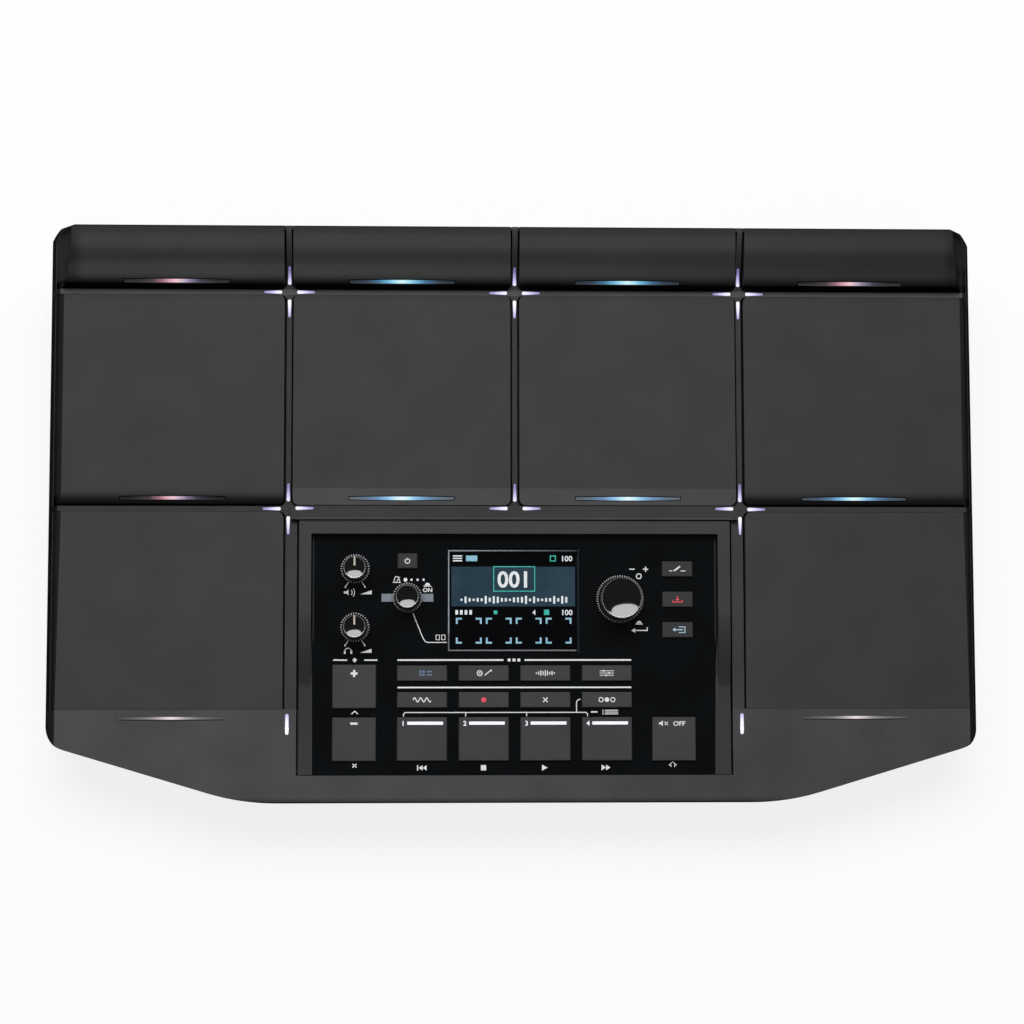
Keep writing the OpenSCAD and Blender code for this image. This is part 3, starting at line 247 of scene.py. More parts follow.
def case_plastic():
    """Case: a light apron, with painted shade that darkens the strips and flanks. Painted light brightens the rear
    strip, and a painted highlight lies on the edge behind the hood.
    """
    m = Mat("case_plastic", CASE, 0.6, SOFT_GLOSS)
    x, y, z = m.deck()
    ax = m.size(x)
    cloud = m.noise(0.035, 3.0)
    fine = m.noise(2.6, 2.0)
    tone = m.mix(m.span(cloud, 0.3, 0.7), shade(CASE, 0.9), shade(CASE, 1.1))
    tone = m.mix(m.span(m.noise(1.8, 1.0), 0.66, 0.78, 0.0, 0.24), tone, shade(CASE, 2.2))
    # painted light on the rear strip, and a painted highlight on the edge behind the hood
    strip = m.span(m.size(m.math("SUBTRACT", y, STRIP_Y)), 1.6, 1.3, 0.0, 1.3)
    edge = m.times(m.span(y, -5.6, -5.4), m.span(y, -4.5, -4.8), m.span(ax, 108.0, 107.6))
    lit = m.math("MULTIPLY_ADD", edge, 0.6, m.math("ADD", strip, 1.0))
    # painted shade: the apron falls off to the right, and behind it the case is darker, less so beside the hood
    apron_shade = m.span(x, -20.0, 130.0, 1.0, 0.82)
    less_shade_beside_hood = m.times(m.span(ax, 114.4, 113.8), m.span(y, -5.6, -6.2))
    shade_behind = m.math("MULTIPLY_ADD", less_shade_beside_hood, 0.08, 0.54)
    on_apron = m.span(y, APRON_Y, APRON_Y - 0.5)
    place = m.math("MULTIPLY_ADD", on_apron, m.math("SUBTRACT", apron_shade, shade_behind), shade_behind)
    # painted shade darkens the wells under the pads
    inside = m.times(m.span(ax, FLANK_X, FLANK_X - 1.0), m.span(y, APRON_Y - 0.2, APRON_Y), m.span(y, 140.4, 140.0))
    well_shade = m.times(inside, m.span(z, -1.4, -3.0, 0.0, 0.85))
    m.set("Base Color", m.scaled(tone, m.times(place, lit, m.rest(well_shade), m.flank_shade(ax))))
    m.set("Specular IOR Level", m.matt_sides(SOFT_GLOSS))
    m.set("Roughness", m.span(fine, 0.25, 0.75, 0.53, 0.67))
    m.set("Normal", m.bump(fine, 0.55, 0.00006))
    return m.m


def pad_rubber():
    """Pads: a diamond hatch on the playing faces, smooth bands in front of and behind it, painted shade in the
    hatch's valleys and on the dark rolled fronts.
    """
    m = Mat("pad_rubber", RUBBER, 0.62, SOFT_GLOSS)
    x, y, z = m.deck()
    ax = m.size(x)
    pitch = 1.15
    u = m.math("SINE", m.times(m.math("ADD", x, y), math.pi / pitch))
    v = m.math("SINE", m.times(m.math("SUBTRACT", x, y), math.pi / pitch))
    hatch = m.times(m.size(u), m.size(v))
    upper = m.times(m.span(y, HATCH_Y, HATCH_Y + 0.4), m.span(y, BAR_Y - 0.3, BAR_Y - 0.7))
    lower = m.times(m.span(y, APRON_Y + 0.3, APRON_Y + 0.7), m.span(y, -1.7, -2.1))
    mask = m.times(m.math("ADD", upper, lower), m.span(z, -0.6, -0.2))
    fine = m.noise(3.2, 2.0)
    cloud = m.noise(0.03, 3.0)
    tone = m.mix(m.span(cloud, 0.3, 0.7), shade(RUBBER, 0.93), shade(RUBBER, 1.09))
    bar = m.span(y, BAR_Y, BAR_Y + 1.0)
    outer = m.span(ax, 113.0, 114.0)
    smooth = m.mix(outer, shade(RUBBER, BAND), shade(RUBBER, ROLLED))
    smooth = m.mix(bar, smooth, shade(RUBBER, BAR))
    smooth = m.mix(m.span(cloud, 0.35, 0.65, 0.1, 0.0), smooth, BLACK)
    tone = m.mix(mask, smooth, tone)
    # painted shade in the valleys of the hatch
    valley_shade = m.times(m.span(hatch, 0.5, 0.0), mask, 0.3)
    tone = m.mix(valley_shade, tone, shade(RUBBER, 0.5))
    specks = m.span(m.noise(1.9, 1.0), 0.68, 0.8, 0.0, 0.3)
    tone = m.mix(specks, tone, shade(RUBBER, 2.0))
    # painted shade on the bars: the shelf falls off to the right, and the crest towards the outer ends
    shelf_shade = m.times(m.span(y, 112.5, 113.5), m.span(y, 124.0, 120.0), m.span(x, -120.0, 200.0, 0.0, 0.45))
    bar_end_shade = m.times(bar, m.span(m.facing(), 0.6, 0.8), m.span(ax, 213.0, 219.0, 0.0, 0.6))
    painted_bar_shade = m.times(m.profile(y, BAR_SHADE), m.rest(shelf_shade), m.rest(bar_end_shade))
    # painted shade over the rolled fronts of the outer upper pads
    painted_roll_shade = m.math("MULTIPLY_ADD", outer, m.math("SUBTRACT", m.profile(y, ROLL_SHADE), 1.0), 1.0)
    painted_roll_shade = m.math("MAXIMUM", painted_roll_shade, m.math("LESS_THAN", y, 0.0))
    # painted shade on the flanks, but not on the bars
    flank_shade = m.math("MAXIMUM", m.flank_shade(ax), m.span(y, 112.0, 114.0))
    # painted shade towards the right, and painted light on the lower pads
    shade_to_right = m.span(x, 20.0, 220.0, 1.0, 0.83)
    light_to_front = m.span(y, -1.0, 1.0, 1.1, 1.0)
    tone = m.scaled(tone, m.times(painted_bar_shade, painted_roll_shade, flank_shade, shade_to_right, light_to_front))
    m.set("Specular IOR Level", m.matt_sides(SOFT_GLOSS))
    m.set("Base Color", tone)
    m.set("Roughness", m.span(fine, 0.25, 0.75, 0.56, 0.7))
    height = m.math("ADD", m.times(hatch, mask), m.times(fine, 0.25))
    m.set("Normal", m.bump(height, 0.6, 0.00012))
    return m.m


def lens_light():
    """Pad lights: bright in the middle, dark at the ends, rose, blue or white by place."""
    m = Mat("lens_light", (0.012, 0.012, 0.014), 0.35, 0.3)
    x, y, _ = m.deck()
    ax = m.size(x)
    outer = m.math("GREATER_THAN", ax, 112.0)
    bar = m.math("GREATER_THAN", y, 60.0)
    low = m.math("LESS_THAN", y, -60.0)
    # distance from the middle of the lens, against its half length
    middle = m.math("MULTIPLY_ADD", outer, 112.925, STRIP_X / 2)
    middle = m.math("SUBTRACT", middle, m.times(outer, bar, 1.285))
    t = m.math("DIVIDE", m.size(m.math("SUBTRACT", ax, middle)), 25.9)
    d = m.math("MULTIPLY_ADD", m.math("SUBTRACT", m.noise(0.3, 1.0), 0.5), 0.06, t)
    stops = (0.0, 0.133, 0.266, 0.456, 0.685, 0.913)

    def glow(*tones):
        return m.ramp(d, [(at, tone8(*c)) for at, c in zip(stops, tones)])

    blue = glow((215, 246, 252), (165, 222, 243), (104, 176, 212), (55, 104, 140), (31, 52, 72), (20, 34, 42))
    rose = glow((240, 198, 206), (212, 158, 170), (152, 104, 118), (66, 51, 58), (27, 26, 29), (13, 13, 14))
    violet = glow((238, 203, 216), (194, 172, 196), (124, 114, 144), (52, 50, 64), (24, 24, 30), (13, 13, 14))
    pale = glow((228, 245, 252), (193, 230, 248), (140, 188, 227), (103, 139, 176), (87, 109, 130), (87, 95, 103))
    white = glow((236, 222, 226), (205, 195, 202), (160, 152, 158), (117, 115, 119), (93, 95, 98), (80, 80, 82))
    # the right half of a rose light turns violet
    side = m.math("SUBTRACT", x, m.times(m.math("SIGN", x), middle))
    rose = m.mix(m.span(side, -2.0, 3.0), rose, violet)
    inner_upper = m.times(m.rest(outer), m.rest(bar))
    right_upper = m.times(m.math("GREATER_THAN", x, 112.0), m.rest(m.math("ADD", bar, low)))
    cool = m.mix(m.math("MULTIPLY_ADD", right_upper, 0.5, inner_upper), blue, pale)
    warm = m.times(outer, m.rest(right_upper))
    tone = m.mix(low, m.mix(warm, cool, rose), white)
    # a grey front edge, a painted highlight, on the bar and outer lenses, and a black one without glow on the lower
    # lenses
    line = m.math("MULTIPLY_ADD", bar, 107.8, m.math("MULTIPLY_ADD", low, -108.5, 5.0))
    half = m.math("MULTIPLY_ADD", m.times(t, t), -0.3, 0.9)
    edge = m.math("DIVIDE", m.math("SUBTRACT", line, y), half)
    rim_highlight = m.math("MAXIMUM", bar, m.times(outer, m.rest(low)))
    tone = m.mix(m.times(rim_highlight, m.span(edge, 0.66, 0.8)), tone, tone8(58, 58, 60))
    tone = m.mix(m.times(low, m.span(edge, 0.35, 0.6)), tone, tone8(8, 8, 9))
    tone = m.mix(m.span(m.facing(), 0.45, 0.25), tone, BLACK)
    m.set("Emission Color", tone)
    m.set("Emission Strength", 1.0)
    return m.m


def cross_light():
    """Cross lights: white next to the hub, violet at the rim and the far end, dimmer on the arms that run back."""
    m = Mat("cross_light", (0.12, 0.12, 0.15), 0.35, 0.4)
    x, y, _ = m.deck()
    # place against the nearest hub
    wy = m.math("WRAP", y, -STRIP_Y / 2, STRIP_Y / 2)
    rx = m.size(m.math("WRAP", x, -STRIP_X / 2, STRIP_X / 2))
    ry = m.size(wy)
    along = m.math("MAXIMUM", rx, ry)
    across = m.math("MINIMUM", rx, ry)
    d = m.math("DIVIDE", along, 13.0)
    d = m.math("MULTIPLY_ADD", m.math("SUBTRACT", m.noise(0.5, 1.0), 0.5), 0.08, d)
    d = m.math("ADD", d, m.times(m.span(wy, 2.0, 5.0), 0.16))
    d = m.math("SUBTRACT", d, m.times(m.span(wy, -2.0, -5.0), 0.16))
    glow = m.ramp(d, [(0.25, tone8(246, 246, 255)), (0.5, tone8(226, 224, 250)), (0.78, tone8(166, 160, 210)),
                      (1.0, tone8(112, 104, 158))])
    wide = m.span(along, 3.7, 12.7, 0.95, 0.6)
    rim = m.span(m.math("DIVIDE", across, wide), 0.6, 1.0, 0.0, 0.75)
    glow = m.mix(rim, glow, tone8(74, 70, 128))
    m.set("Emission Color", m.mix(m.span(m.facing(), 0.6, 0.4), glow, BLACK))
    m.set("Emission Strength", 1.0)
    return m.m


def gloss(name, color, rough=0.12, spec=0.5, dust=0.02, edge_reflection=False):
    """Polished plastic: faint haze and a little dust. The panel's side edges also carry a painted reflection, a line
    of light.
    """
    m = Mat(name, color, rough, spec)
    haze = m.noise(0.05, 3.0)
    fine = m.noise(1.3, 3.0)
    m.set("Roughness", m.span(haze, 0.3, 0.7, rough * 0.7, rough * 1.4))
    specks = m.span(fine, 0.72, 0.8, 0.0, dust * 6)
    tone = m.mix(m.span(haze, 0.3, 0.7), shade(color, 0.85), shade(color, 1.15))
    tone = m.mix(specks, tone, (0.06, 0.065, 0.07))
    if edge_reflection:
        # a painted reflection of the rails' edges, as light lines along the panel's sides
        x, y, _ = m.deck()
        place = m.math("SUBTRACT", m.size(x), 99.6)
        line = m.span(m.size(place), 0.5, 0.25, 0.0, 0.8)
        line = m.times(line, m.span(y, -70.0, -60.0), m.span(y, -13.0, -16.0))
        tone = m.mix(line, tone, (0.04, 0.042, 0.044))
    m.set("Base Color", tone)
    return m.m


def metal(name, color, rough):
    """Plated or brushed metal: fine lines along one way and a cloudy polish."""
    m = Mat(name, color, rough)
    m.set("Metallic", 1.0)
    at = m.node("ShaderNodeVectorMath", {0: m.deck_vector(), 1: (0.2, 3.0, 0.2)}, operation="MULTIPLY")
    lines = m.noise(1.0, 4.0, at)
    m.set("Base Color", m.mix(m.span(lines, 0.3, 0.7), shade(color, 0.86), shade(color, 1.08)))
    m.set("Roughness", m.span(lines, 0.2, 0.8, rough * 0.8, rough * 1.25))
    m.set("Normal", m.bump(lines, 0.15, 0.00003))
    return m.m


def painted_frame_light():
    """Bevelled display frame: its four sides carry painted light and shade, unlike each other."""
    m = Mat("display_frame", tone8(118, 118, 120), 0.4, 0.2)
    x, y, _ = m.deck()
    top = m.mix(m.span(x, -32.0, 32.0), tone8(156, 162, 172), tone8(80, 84, 94))
    tone = m.mix(m.span(y, -69.4, -69.7), tone8(118, 118, 120), tone8(152, 154, 159))
    tone = m.mix(m.span(y, -21.4, -21.1), tone, top)
    tone = m.mix(m.span(x, 30.9, 31.1), tone, tone8(30, 34, 40))
    m.set("Base Color", m.scaled(tone, m.span(m.noise(0.8, 3.0), 0.3, 0.7, 0.85, 1.12)))
    return m.m


def ink(name, color, glow=0.0):
    """Screen-printed ink: slightly uneven cover. A legend with a glow shines as painted light where no lamp lies
    under it.
    """
    m = Mat(name, color, 0.5, 0.4)
    cover = m.noise(2.5, 2.0)
    tone = m.mix(m.span(cover, 0.25, 0.6), shade(color, 0.82), color)
    m.set("Base Color", tone)
    if glow:
        m.set("Emission Color", tone)
        m.set("Emission Strength", glow)
    return m.m


def pixels(name, low, high, scale=0.4):
    """Part of a lit display: two tones in slow clouds behind a fine pixel grid."""
    m = Mat(name, (0.0012, 0.0012, 0.0015), 0.2, 0.1)
    x, y, _ = m.deck()
    pitch = 0.4
    cloud = m.noise(scale, 2.0)
    grid = [m.span(m.size(m.math("SINE", m.times(a, 2 * math.pi / pitch))), 0.0, 0.35, 0.8, 1.0) for a in (x, y)]
    tone = m.mix(m.span(cloud, 0.3, 0.7), low, high)
    m.set("Emission Color", m.mix(m.times(*grid), BLACK, tone))
    m.set("Emission Strength", 1.0)
    return m.m


# Materials of the slots

MATS = {
    "case_plastic": case_plastic(),
    "base_plastic": grained("base_plastic", (0.02, 0.02, 0.021), 0.62, 1.6, 0.0001, 0.35),
    # the hood carries painted shade over its rails
    "hood_plastic": grained("hood_plastic", (0.0345, 0.0345, 0.0352), 0.5, 3.5, 0.00003, 0.3, 0.06, 0.03,
                            HOOD_SHADE),
    "panel_gloss": gloss("panel_gloss", (0.0028, 0.0038, 0.0048), 0.07, 0.3, edge_reflection=True),
    "smoked_window": gloss("smoked_window", (0.002, 0.0022, 0.0026), 0.06, 0.4, 0.0),
    "display_module": gloss("display_module", (0.02, 0.03, 0.04), 0.2),
    "lamp_plastic": grained("lamp_plastic", (0.21, 0.24, 0.285), 0.45, 2.0, 0.00002, 0.4, 0.1, 0.0),
    # black-coated steel, and its dark is also painted shade in the gaps beside the pads
    "plate_steel": metal("plate_steel", (0.035, 0.035, 0.037), 0.5),
    "foam": grained("foam", (0.05, 0.05, 0.055), 0.9, 1.2, 0.0003),
    "sensor_film": grained("sensor_film", (0.45, 0.33, 0.08), 0.35, 0.6),
    "white_board": grained("white_board", (0.75, 0.75, 0.7), 0.45, 1.0),
    "green_board": grained("green_board", (0.01, 0.1, 0.04), 0.4, 0.8),
    "black_plastic": grained("black_plastic", (0.014, 0.014, 0.014), 0.42, 2.5, 0.00003, 0.45),
    "pot_metal": metal("pot_metal", (0.5, 0.5, 0.52), 0.35),
    "shell_steel": metal("shell_steel", (0.6, 0.6, 0.61), 0.28),
    "foot_rubber": grained("foot_rubber", (0.012, 0.012, 0.012), 0.8, 1.4, 0.00012, 0.3),
    "screw_steel": metal("screw_steel", (0.09, 0.09, 0.095), 0.4),
    "insert_brass": metal("insert_brass", (0.72, 0.5, 0.2), 0.3),
    "pad_rubber": pad_rubber(),
    "key_plastic": grained("key_plastic", (0.04, 0.0405, 0.0425), 0.52, 3.0, 0.00003, 0.35, 0.07, 0.05),
    "knob_plastic": gloss("knob_plastic", (0.004, 0.004, 0.0045), 0.08, 1.0, 0.0),
    "rotor_plastic": grained("rotor_plastic", (0.5, 0.46, 0.33), 0.5, 1.0),
    "light_plastic": cross_light(),
}
# nodes that look unlike the others of their slot
OWN = {"pad_light_lenses": lens_light()}
SMALL_KEY = grained("small_key", (0.0235, 0.0235, 0.0245), 0.52, 3.0, 0.00003, 0.35, 0.07, 0.05)
for name in ("edit", "write", "exit", "power"):
    OWN[name + "_button"] = SMALL_KEY
# prints, lights of the keys, and trim; the prints and the pointer glow as painted light, the key lights glow as
# lamps, and the light grey of the knob teeth is a painted highlight
WHITE = ink("print_white", (0.78, 0.79, 0.8), 0.12)
DIM_BLUE = ink("print_dim_blue", (0.16, 0.22, 0.36), 0.1)
PALE_BLUE = ink("print_pale_blue", (0.45, 0.6, 0.72), 0.12)
RED = ink("print_red", (0.75, 0.06, 0.1), 0.25)
LED_WHITE = ink("key_light", (0.86, 0.87, 0.95), 0.35)
CREAM = ink("pointer_cream", (0.72, 0.66, 0.52), 0.05)
KNOB_EDGE = metal("knob_edge", (0.42, 0.42, 0.43), 0.3)
KNOB_TEETH_HIGHLIGHT = ink("knob_teeth_highlight", (0.42, 0.42, 0.43))
PAINTED_FRAME = painted_frame_light()
NUT_METAL = metal("nut_metal", (0.2, 0.2, 0.21), 0.3)


# CAD nodes: weld, smooth by angle, rounded edges, one procedural material each

WELD_GAP = 2e-6


def weld_smooth(angle):
    """Node group of a modifier that welds a mesh and keeps its edges sharp above an angle."""
    g = bpy.data.node_groups.new("weld_smooth", "GeometryNodeTree")
    for way in ("INPUT", "OUTPUT"):
        g.interface.new_socket("Geometry", in_out=way, socket_type="NodeSocketGeometry")
    new = g.nodes.new
    start, end = new("NodeGroupInput"), new("NodeGroupOutput")
    merge, face, edge = (new("GeometryNodeMergeByDistance"), new("GeometryNodeSetShadeSmooth"),
                         new("GeometryNodeSetShadeSmooth"))
    turn, sharp = new("GeometryNodeInputMeshEdgeAngle"), new("FunctionNodeCompare")
    merge.inputs["Distance"].default_value = WELD_GAP
    edge.domain = "EDGE"
    edge.inputs["Shade Smooth"].default_value = False
    sharp.operation = "GREATER_THAN"
    sharp.inputs[1].default_value = angle
    link = g.links.new
    link(start.outputs[0], merge.inputs["Geometry"])
    link(merge.outputs[0], face.inputs["Geometry"])
    link(face.outputs[0], edge.inputs["Geometry"])
    link(turn.outputs["Unsigned Angle"], sharp.inputs[0])
    link(sharp.outputs[0], edge.inputs["Selection"])
    link(edge.outputs[0], end.inputs[0])
    return g


SMOOTH = weld_smooth(math.radians(28))
# rounding of edges in mm, by slot, and that of the lower pads, whose front seam is narrow
SEAM_ROUND = 0.15
ROUND = {"pad_rubber": 0.5, "key_plastic": 0.14, "hood_plastic": 0.35, "foot_rubber": 0.4}

for part in frame["record"]["subparts"]:
    node = frame["nodes"][part["node"]]
    slot = part["material_slot"]
    node.data.materials.clear()
    node.data.materials.append(OWN.get(part["node"], MATS[slot]))
    node.modifiers.new("smooth", "NODES").node_group = SMOOTH
    if slot in ROUND:
        bevel = node.modifiers.new("round", "BEVEL")
        bevel.width = (SEAM_ROUND if part["node"].startswith("lower_pad") else ROUND[slot]) * MM
        bevel.segments = 3
        bevel.limit_method = "ANGLE"
        bevel.angle_limit = math.radians(35)
        bevel.harden_normals = True


# Pieces

def piece(name, verts, faces, mats, body, at=(0, 0, 0), base=DECK, index=None, sharp=35):
    """A mesh from mm points around `at`, set in the deck frame, riding on a body."""
    mesh = bpy.data.meshes.new(name)
    mesh.from_pydata([Vector(v) * MM for v in verts], [], faces)
    for m in mats if isinstance(mats, (list, tuple)) else [mats]:
        mesh.materials.append(m)
    if index:
        mesh.polygons.foreach_set("material_index", index)
    mesh.polygons.foreach_set("use_smooth", [True] * len(mesh.polygons))
    mesh.update()
    mesh.set_sharp_from_angle(angle=math.radians(sharp))
    o = bpy.data.objects.new(name, mesh)
    o.matrix_world = base @ Matrix.Translation(Vector(at) * MM)
    scene.collection.objects.link(o)
    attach(o, body)
    return o


def circle(r, n):
    """n points on a circle about the origin."""
    return [(r * math.cos(2 * math.pi * i / n), r * math.sin(2 * math.pi * i / n)) for i in range(n)]


def corners(x, y, w, h):
    """The four corners of a rectangle about x, y."""
    return [(x - w / 2, y - h / 2), (x + w / 2, y - h / 2), (x + w / 2, y + h / 2), (x - w / 2, y + h / 2)]


def hoop(rows, n):
    """Faces of a closed hoop: rings of n points one after the other, the last joined to the first."""
    faces = []
    for r in range(rows):
        a, b = n * r, n * ((r + 1) % rows)
        faces += [(a + i, a + (i + 1) % n, b + (i + 1) % n, b + i) for i in range(n)]
    return faces


# Built-in letters: height of a digit against the letters' size, and how far strokes are thickened against the height
DIGIT, BOLD = 0.73, 0.03


class Flat:
    """Flat shapes in mm, gathered and then raised into one thin closed print."""

    def __init__(self):
        self.loops = []
        self.solids = []

    def poly(self, *points):
        self.loops.append((list(points), None))
        return self

    def rect(self, x, y, w, h):
        return self.poly(*corners(x, y, w, h))

    def disc(self, x, y, r, n=20):
        return self.poly(*[(x + a, y + b) for a, b in circle(r, n)])

    def arc(self, x, y, r, w, a0=0, a1=360, n=28):
        """A ring, or part of one from a0 to a1 degrees, w wide about radius r."""
        full = abs(a1 - a0) >= 360
        steps = n if full else n + 1
        turn = [math.radians(a0 + (a1 - a0) * i / n) for i in range(steps)]
        outer = [(x + (r + w / 2) * math.cos(a), y + (r + w / 2) * math.sin(a)) for a in turn]
        inner = [(x + (r - w / 2) * math.cos(a), y + (r - w / 2) * math.sin(a)) for a in turn]
        if full:
            self.loops.append((outer, inner))
        else:
            self.loops.append((outer + inner[::-1], None))
        return self

    def frame(self, x, y, w, h, t):
        """The outline of a rectangle, t wide."""
        out = corners(x, y, w, h)
        ins = [(px + math.copysign(t, x - px), py + math.copysign(t, y - py)) for px, py in out]
        self.loops.append((out, ins))
        return self

    def line(self, points, w):
        """A stroke through points, mitred at its corners."""
        left, right = [], []
        for i, p in enumerate(points):
            p = Vector(p)
            into = (p - Vector(points[i - 1])).normalized() if i else None
            away = (Vector(points[i + 1]) - p).normalized() if i + 1 < len(points) else None
            along = ((into or away) + (away or into)).normalized()
            side = Vector((-along.y, along.x))
            ref = into or away
            reach = w / 2 / max(0.4, side.dot(Vector((-ref.y, ref.x))))
            left.append(tuple(p + side * reach))
            right.append(tuple(p - side * reach))
        return self.poly(*(right + left[::-1]))

    def text(self, words, x, y, h, stretch=1.0):
        """Plain digits or words of the built-in letters, h high, centred on x, y."""
        curve = bpy.data.curves.new("letters", "FONT")
        curve.body = words
        curve.align_x = "CENTER"
        curve.size = h / DIGIT
        curve.extrude = PRINT / 2
        curve.offset = BOLD * h
        curve.resolution_u = 3
        o = bpy.data.objects.new("letters", curve)
        welded = bmesh.new()
        welded.from_mesh(o.to_mesh())
        bmesh.ops.remove_doubles(welded, verts=welded.verts, dist=1e-4)
        verts = [(v.co.x * stretch + x, v.co.y + y - h / 2, v.co.z) for v in welded.verts]
        self.solids.append((verts, [tuple(v.index for v in f.verts) for f in welded.faces]))
        welded.free()
        o.to_mesh_clear()
        bpy.data.objects.remove(o)
        bpy.data.curves.remove(curve)
        return self

    def build(self):
        """Points and faces of the print, which stands on z = 0."""
        verts, faces = [], []
        for loop, hole in self.loops:
            area = sum(a[0] * b[1] - b[0] * a[1] for a, b in zip(loop, loop[1:] + loop[:1]))
            if area < 0:
                loop = loop[::-1]
                hole = hole[::-1] if hole else None
            k, n = len(verts), len(loop)
            for ring in (loop, hole) if hole else (loop,):
                verts += [(px, py, 0.0) for px, py in ring]
                verts += [(px, py, PRINT) for px, py in ring]
            for i in range(n):
                j = (i + 1) % n
                faces.append((k + i, k + j, k + n + j, k + n + i))
                if hole:
                    q = k + 2 * n
                    faces.append((q + j, q + i, q + n + i, q + n + j))
                    faces.append((k + n + i, k + n + j, q + n + j, q + n + i))
                    faces.append((k + j, k + i, q + i, q + j))
            if not hole:
                faces.append(tuple(range(k + n - 1, k - 1, -1)))
                faces.append(tuple(range(k + n, k + 2 * n)))
        for vs, fs in self.solids:
            k = len(verts)
            verts += [(a, b, PRINT / 2 + c) for a, b, c in vs]
            faces += [tuple(k + i for i in f) for f in fs]
        return verts, faces


def flat(name, shapes, z, mat, body="chassis", at=(0, 0)):
    verts, faces = shapes.build()
    return piece(name, verts, faces, mat, body, (*at, z))


# Keys: columns and rows, and the generic sign on each key

COLUMN = [-45.9 + 30.4 * i for i in range(4)]
MODE_Y, FUNCTION_Y, LOOP_Y = -81.3, -94.4, -113.6
SMALL_X, SMALL_Y = 80.6, [-29.7, -44.8, -59.9]


def legend(key, at, shapes, mat):
    return flat(key + "_sign", shapes, KEY_Z, mat, key, at)


power = Flat().arc(0, -0.1, 1.15, 0.45, 115, 425).rect(0, 0.95, 0.42, 1.1)
legend("power_button", (-53.2, -25.8), power, WHITE)
plus = Flat().rect(0, 6.4, 3.4, 1.1).rect(0, 7.55, 1.1, 1.2).rect(0, 5.25, 1.1, 1.2)
legend("plus_button", (-79.3, -87.8), plus, WHITE)
legend("minus_button", (-79.3, -113.7), Flat().rect(0, 7.7, 3.6, 1.1), WHITE)

mode = [Flat() for _ in range(4)]
for sx in (-1, 1):
    for sy in (-1, 1):
        mode[0].rect(sx * 0.75, sy * 0.75, 1.05, 1.05)
mode[0].rect(3.6, 0.75, 2.6, 0.6).rect(3.6, -0.75, 2.6, 0.6)
mode[1].arc(-2, 0, 1.2, 0.5).disc(-2, 0, 0.45, 12).line([(0.4, -1.1), (3.4, 1.3)], 0.5).disc(3.6, 1.3, 0.5, 12)
for i, h in enumerate((0.7, 1.6, 2.7, 1.9, 2.9, 2.2, 1.2, 2.0, 0.8)):
    mode[2].rect(-4.4 + 1.1 * i, 0, 0.55, h)
for i, k in enumerate((-1.6, 1.2, -0.2)):
    mode[3].rect(0, 1.1 - 1.1 * i, 7.0, 0.35).disc(k, 1.1 - 1.1 * i, 0.5, 12)
for i, mat in enumerate((DIM_BLUE, WHITE, WHITE, WHITE)):
    legend("mode_button_%d" % (i + 1), (COLUMN[i], MODE_Y), mode[i], mat)

wave = [(-4.4 + 0.4 * i, 1.05 * math.sin(0.4 * i * 2 * math.pi / 3.0)) for i in range(23)]
function = [Flat().line(wave, 0.5), Flat().disc(0, 0, 1.25),
            Flat().line([(-1.1, -1.1), (1.1, 1.1)], 0.55).line([(-1.1, 1.1), (1.1, -1.1)], 0.55),
            Flat().arc(-2.9, 0, 1.05, 0.45).disc(0, 0, 1.15).arc(2.9, 0, 1.05, 0.45)]
for i, mat in enumerate((WHITE, RED, WHITE, WHITE)):
    legend("function_button_%d" % (i + 1), (COLUMN[i], FUNCTION_Y), function[i], mat)

for i in range(4):
    key = "loop_button_%d" % (i + 1)
    flat(key + "_light", Flat().rect(1.55, 7.75, 17.6, 1.55), KEY_Z, LED_WHITE, key, (COLUMN[i], LOOP_Y))
    legend(key, (COLUMN[i], LOOP_Y), Flat().text(str(i + 1), -9.3, 7.75, 2.4), LED_WHITE)

off = Flat().poly((-7.4, -0.5), (-6.6, -0.5), (-5.5, -1.4), (-5.5, 1.4), (-6.6, 0.5), (-7.4, 0.5))
off.line([(-4.6, -0.8), (-3.0, 0.8)], 0.4).line([(-4.6, 0.8), (-3.0, -0.8)], 0.4)
off.text("OFF", 2.6, 0, 2.3, 1.1)
legend("sound_off_button", (78.4, -106.1), off, WHITE)
pencil = Flat().line([(-1.6, -1.0), (1.4, 1.2)], 0.8).rect(2.9, -1.0, 2.4, 0.4).rect(-3.2, -1.0, 1.8, 0.4)
store = Flat().line([(0, 1.5), (0, -0.2)], 0.55).poly((-1.0, 0.1), (0, -1.0), (1.0, 0.1))
store.line([(-2.4, -0.4), (-2.4, -1.4), (2.4, -1.4), (2.4, -0.4)], 0.45)
leave = Flat().line([(-1.6, 0), (2.6, 0)], 0.5).poly((-2.6, 0), (-1.2, 1.0), (-1.2, -1.0))
leave.line([(0.6, 1.4), (3.6, 1.4), (3.6, -1.4), (0.6, -1.4)], 0.4)
small = (("edit", pencil, WHITE), ("write", store, RED), ("exit", leave, PALE_BLUE))
for (key, sign, mat), y in zip(small, SMALL_Y):
    legend(key + "_button", (SMALL_X, y), sign, mat)


# Print on the panel

p = Flat()
# lines beside and between the rows of keys
for x0, x1, y, w in ((-58.05, -5.7, -74.8, 0.8), (4.7, 57.55, -74.8, 0.8), (-58.0, 57.5, -88.3, 0.75),
                     (-89.7, -82.8, -74.8, 0.7), (-74.4, -67.9, -74.8, 0.7)):
    p.rect((x0 + x1) / 2, y, x1 - x0, w)
# bracket over the loop keys
p.line([(-55.0, -102.6), (-55.0, -101.4), (-54.2, -100.6),
        (35.0, -100.6), (35.8, -101.4), (35.8, -102.6)], 0.45)
for x in (-24.4, 5.7):
    p.rect(x, -101.6, 0.45, 1.8)
p.line([(30.35, -100.6), (30.35, -95.4), (31.3, -94.3), (32.3, -94.2)], 0.45)
p.rect(39.1, -100.4, 3.2, 0.7)
for i in range(3):
    p.disc(43.4, -99.6 - 0.9 * i, 0.3, 10).rect(47.6, -99.6 - 0.9 * i, 6.6, 0.4)
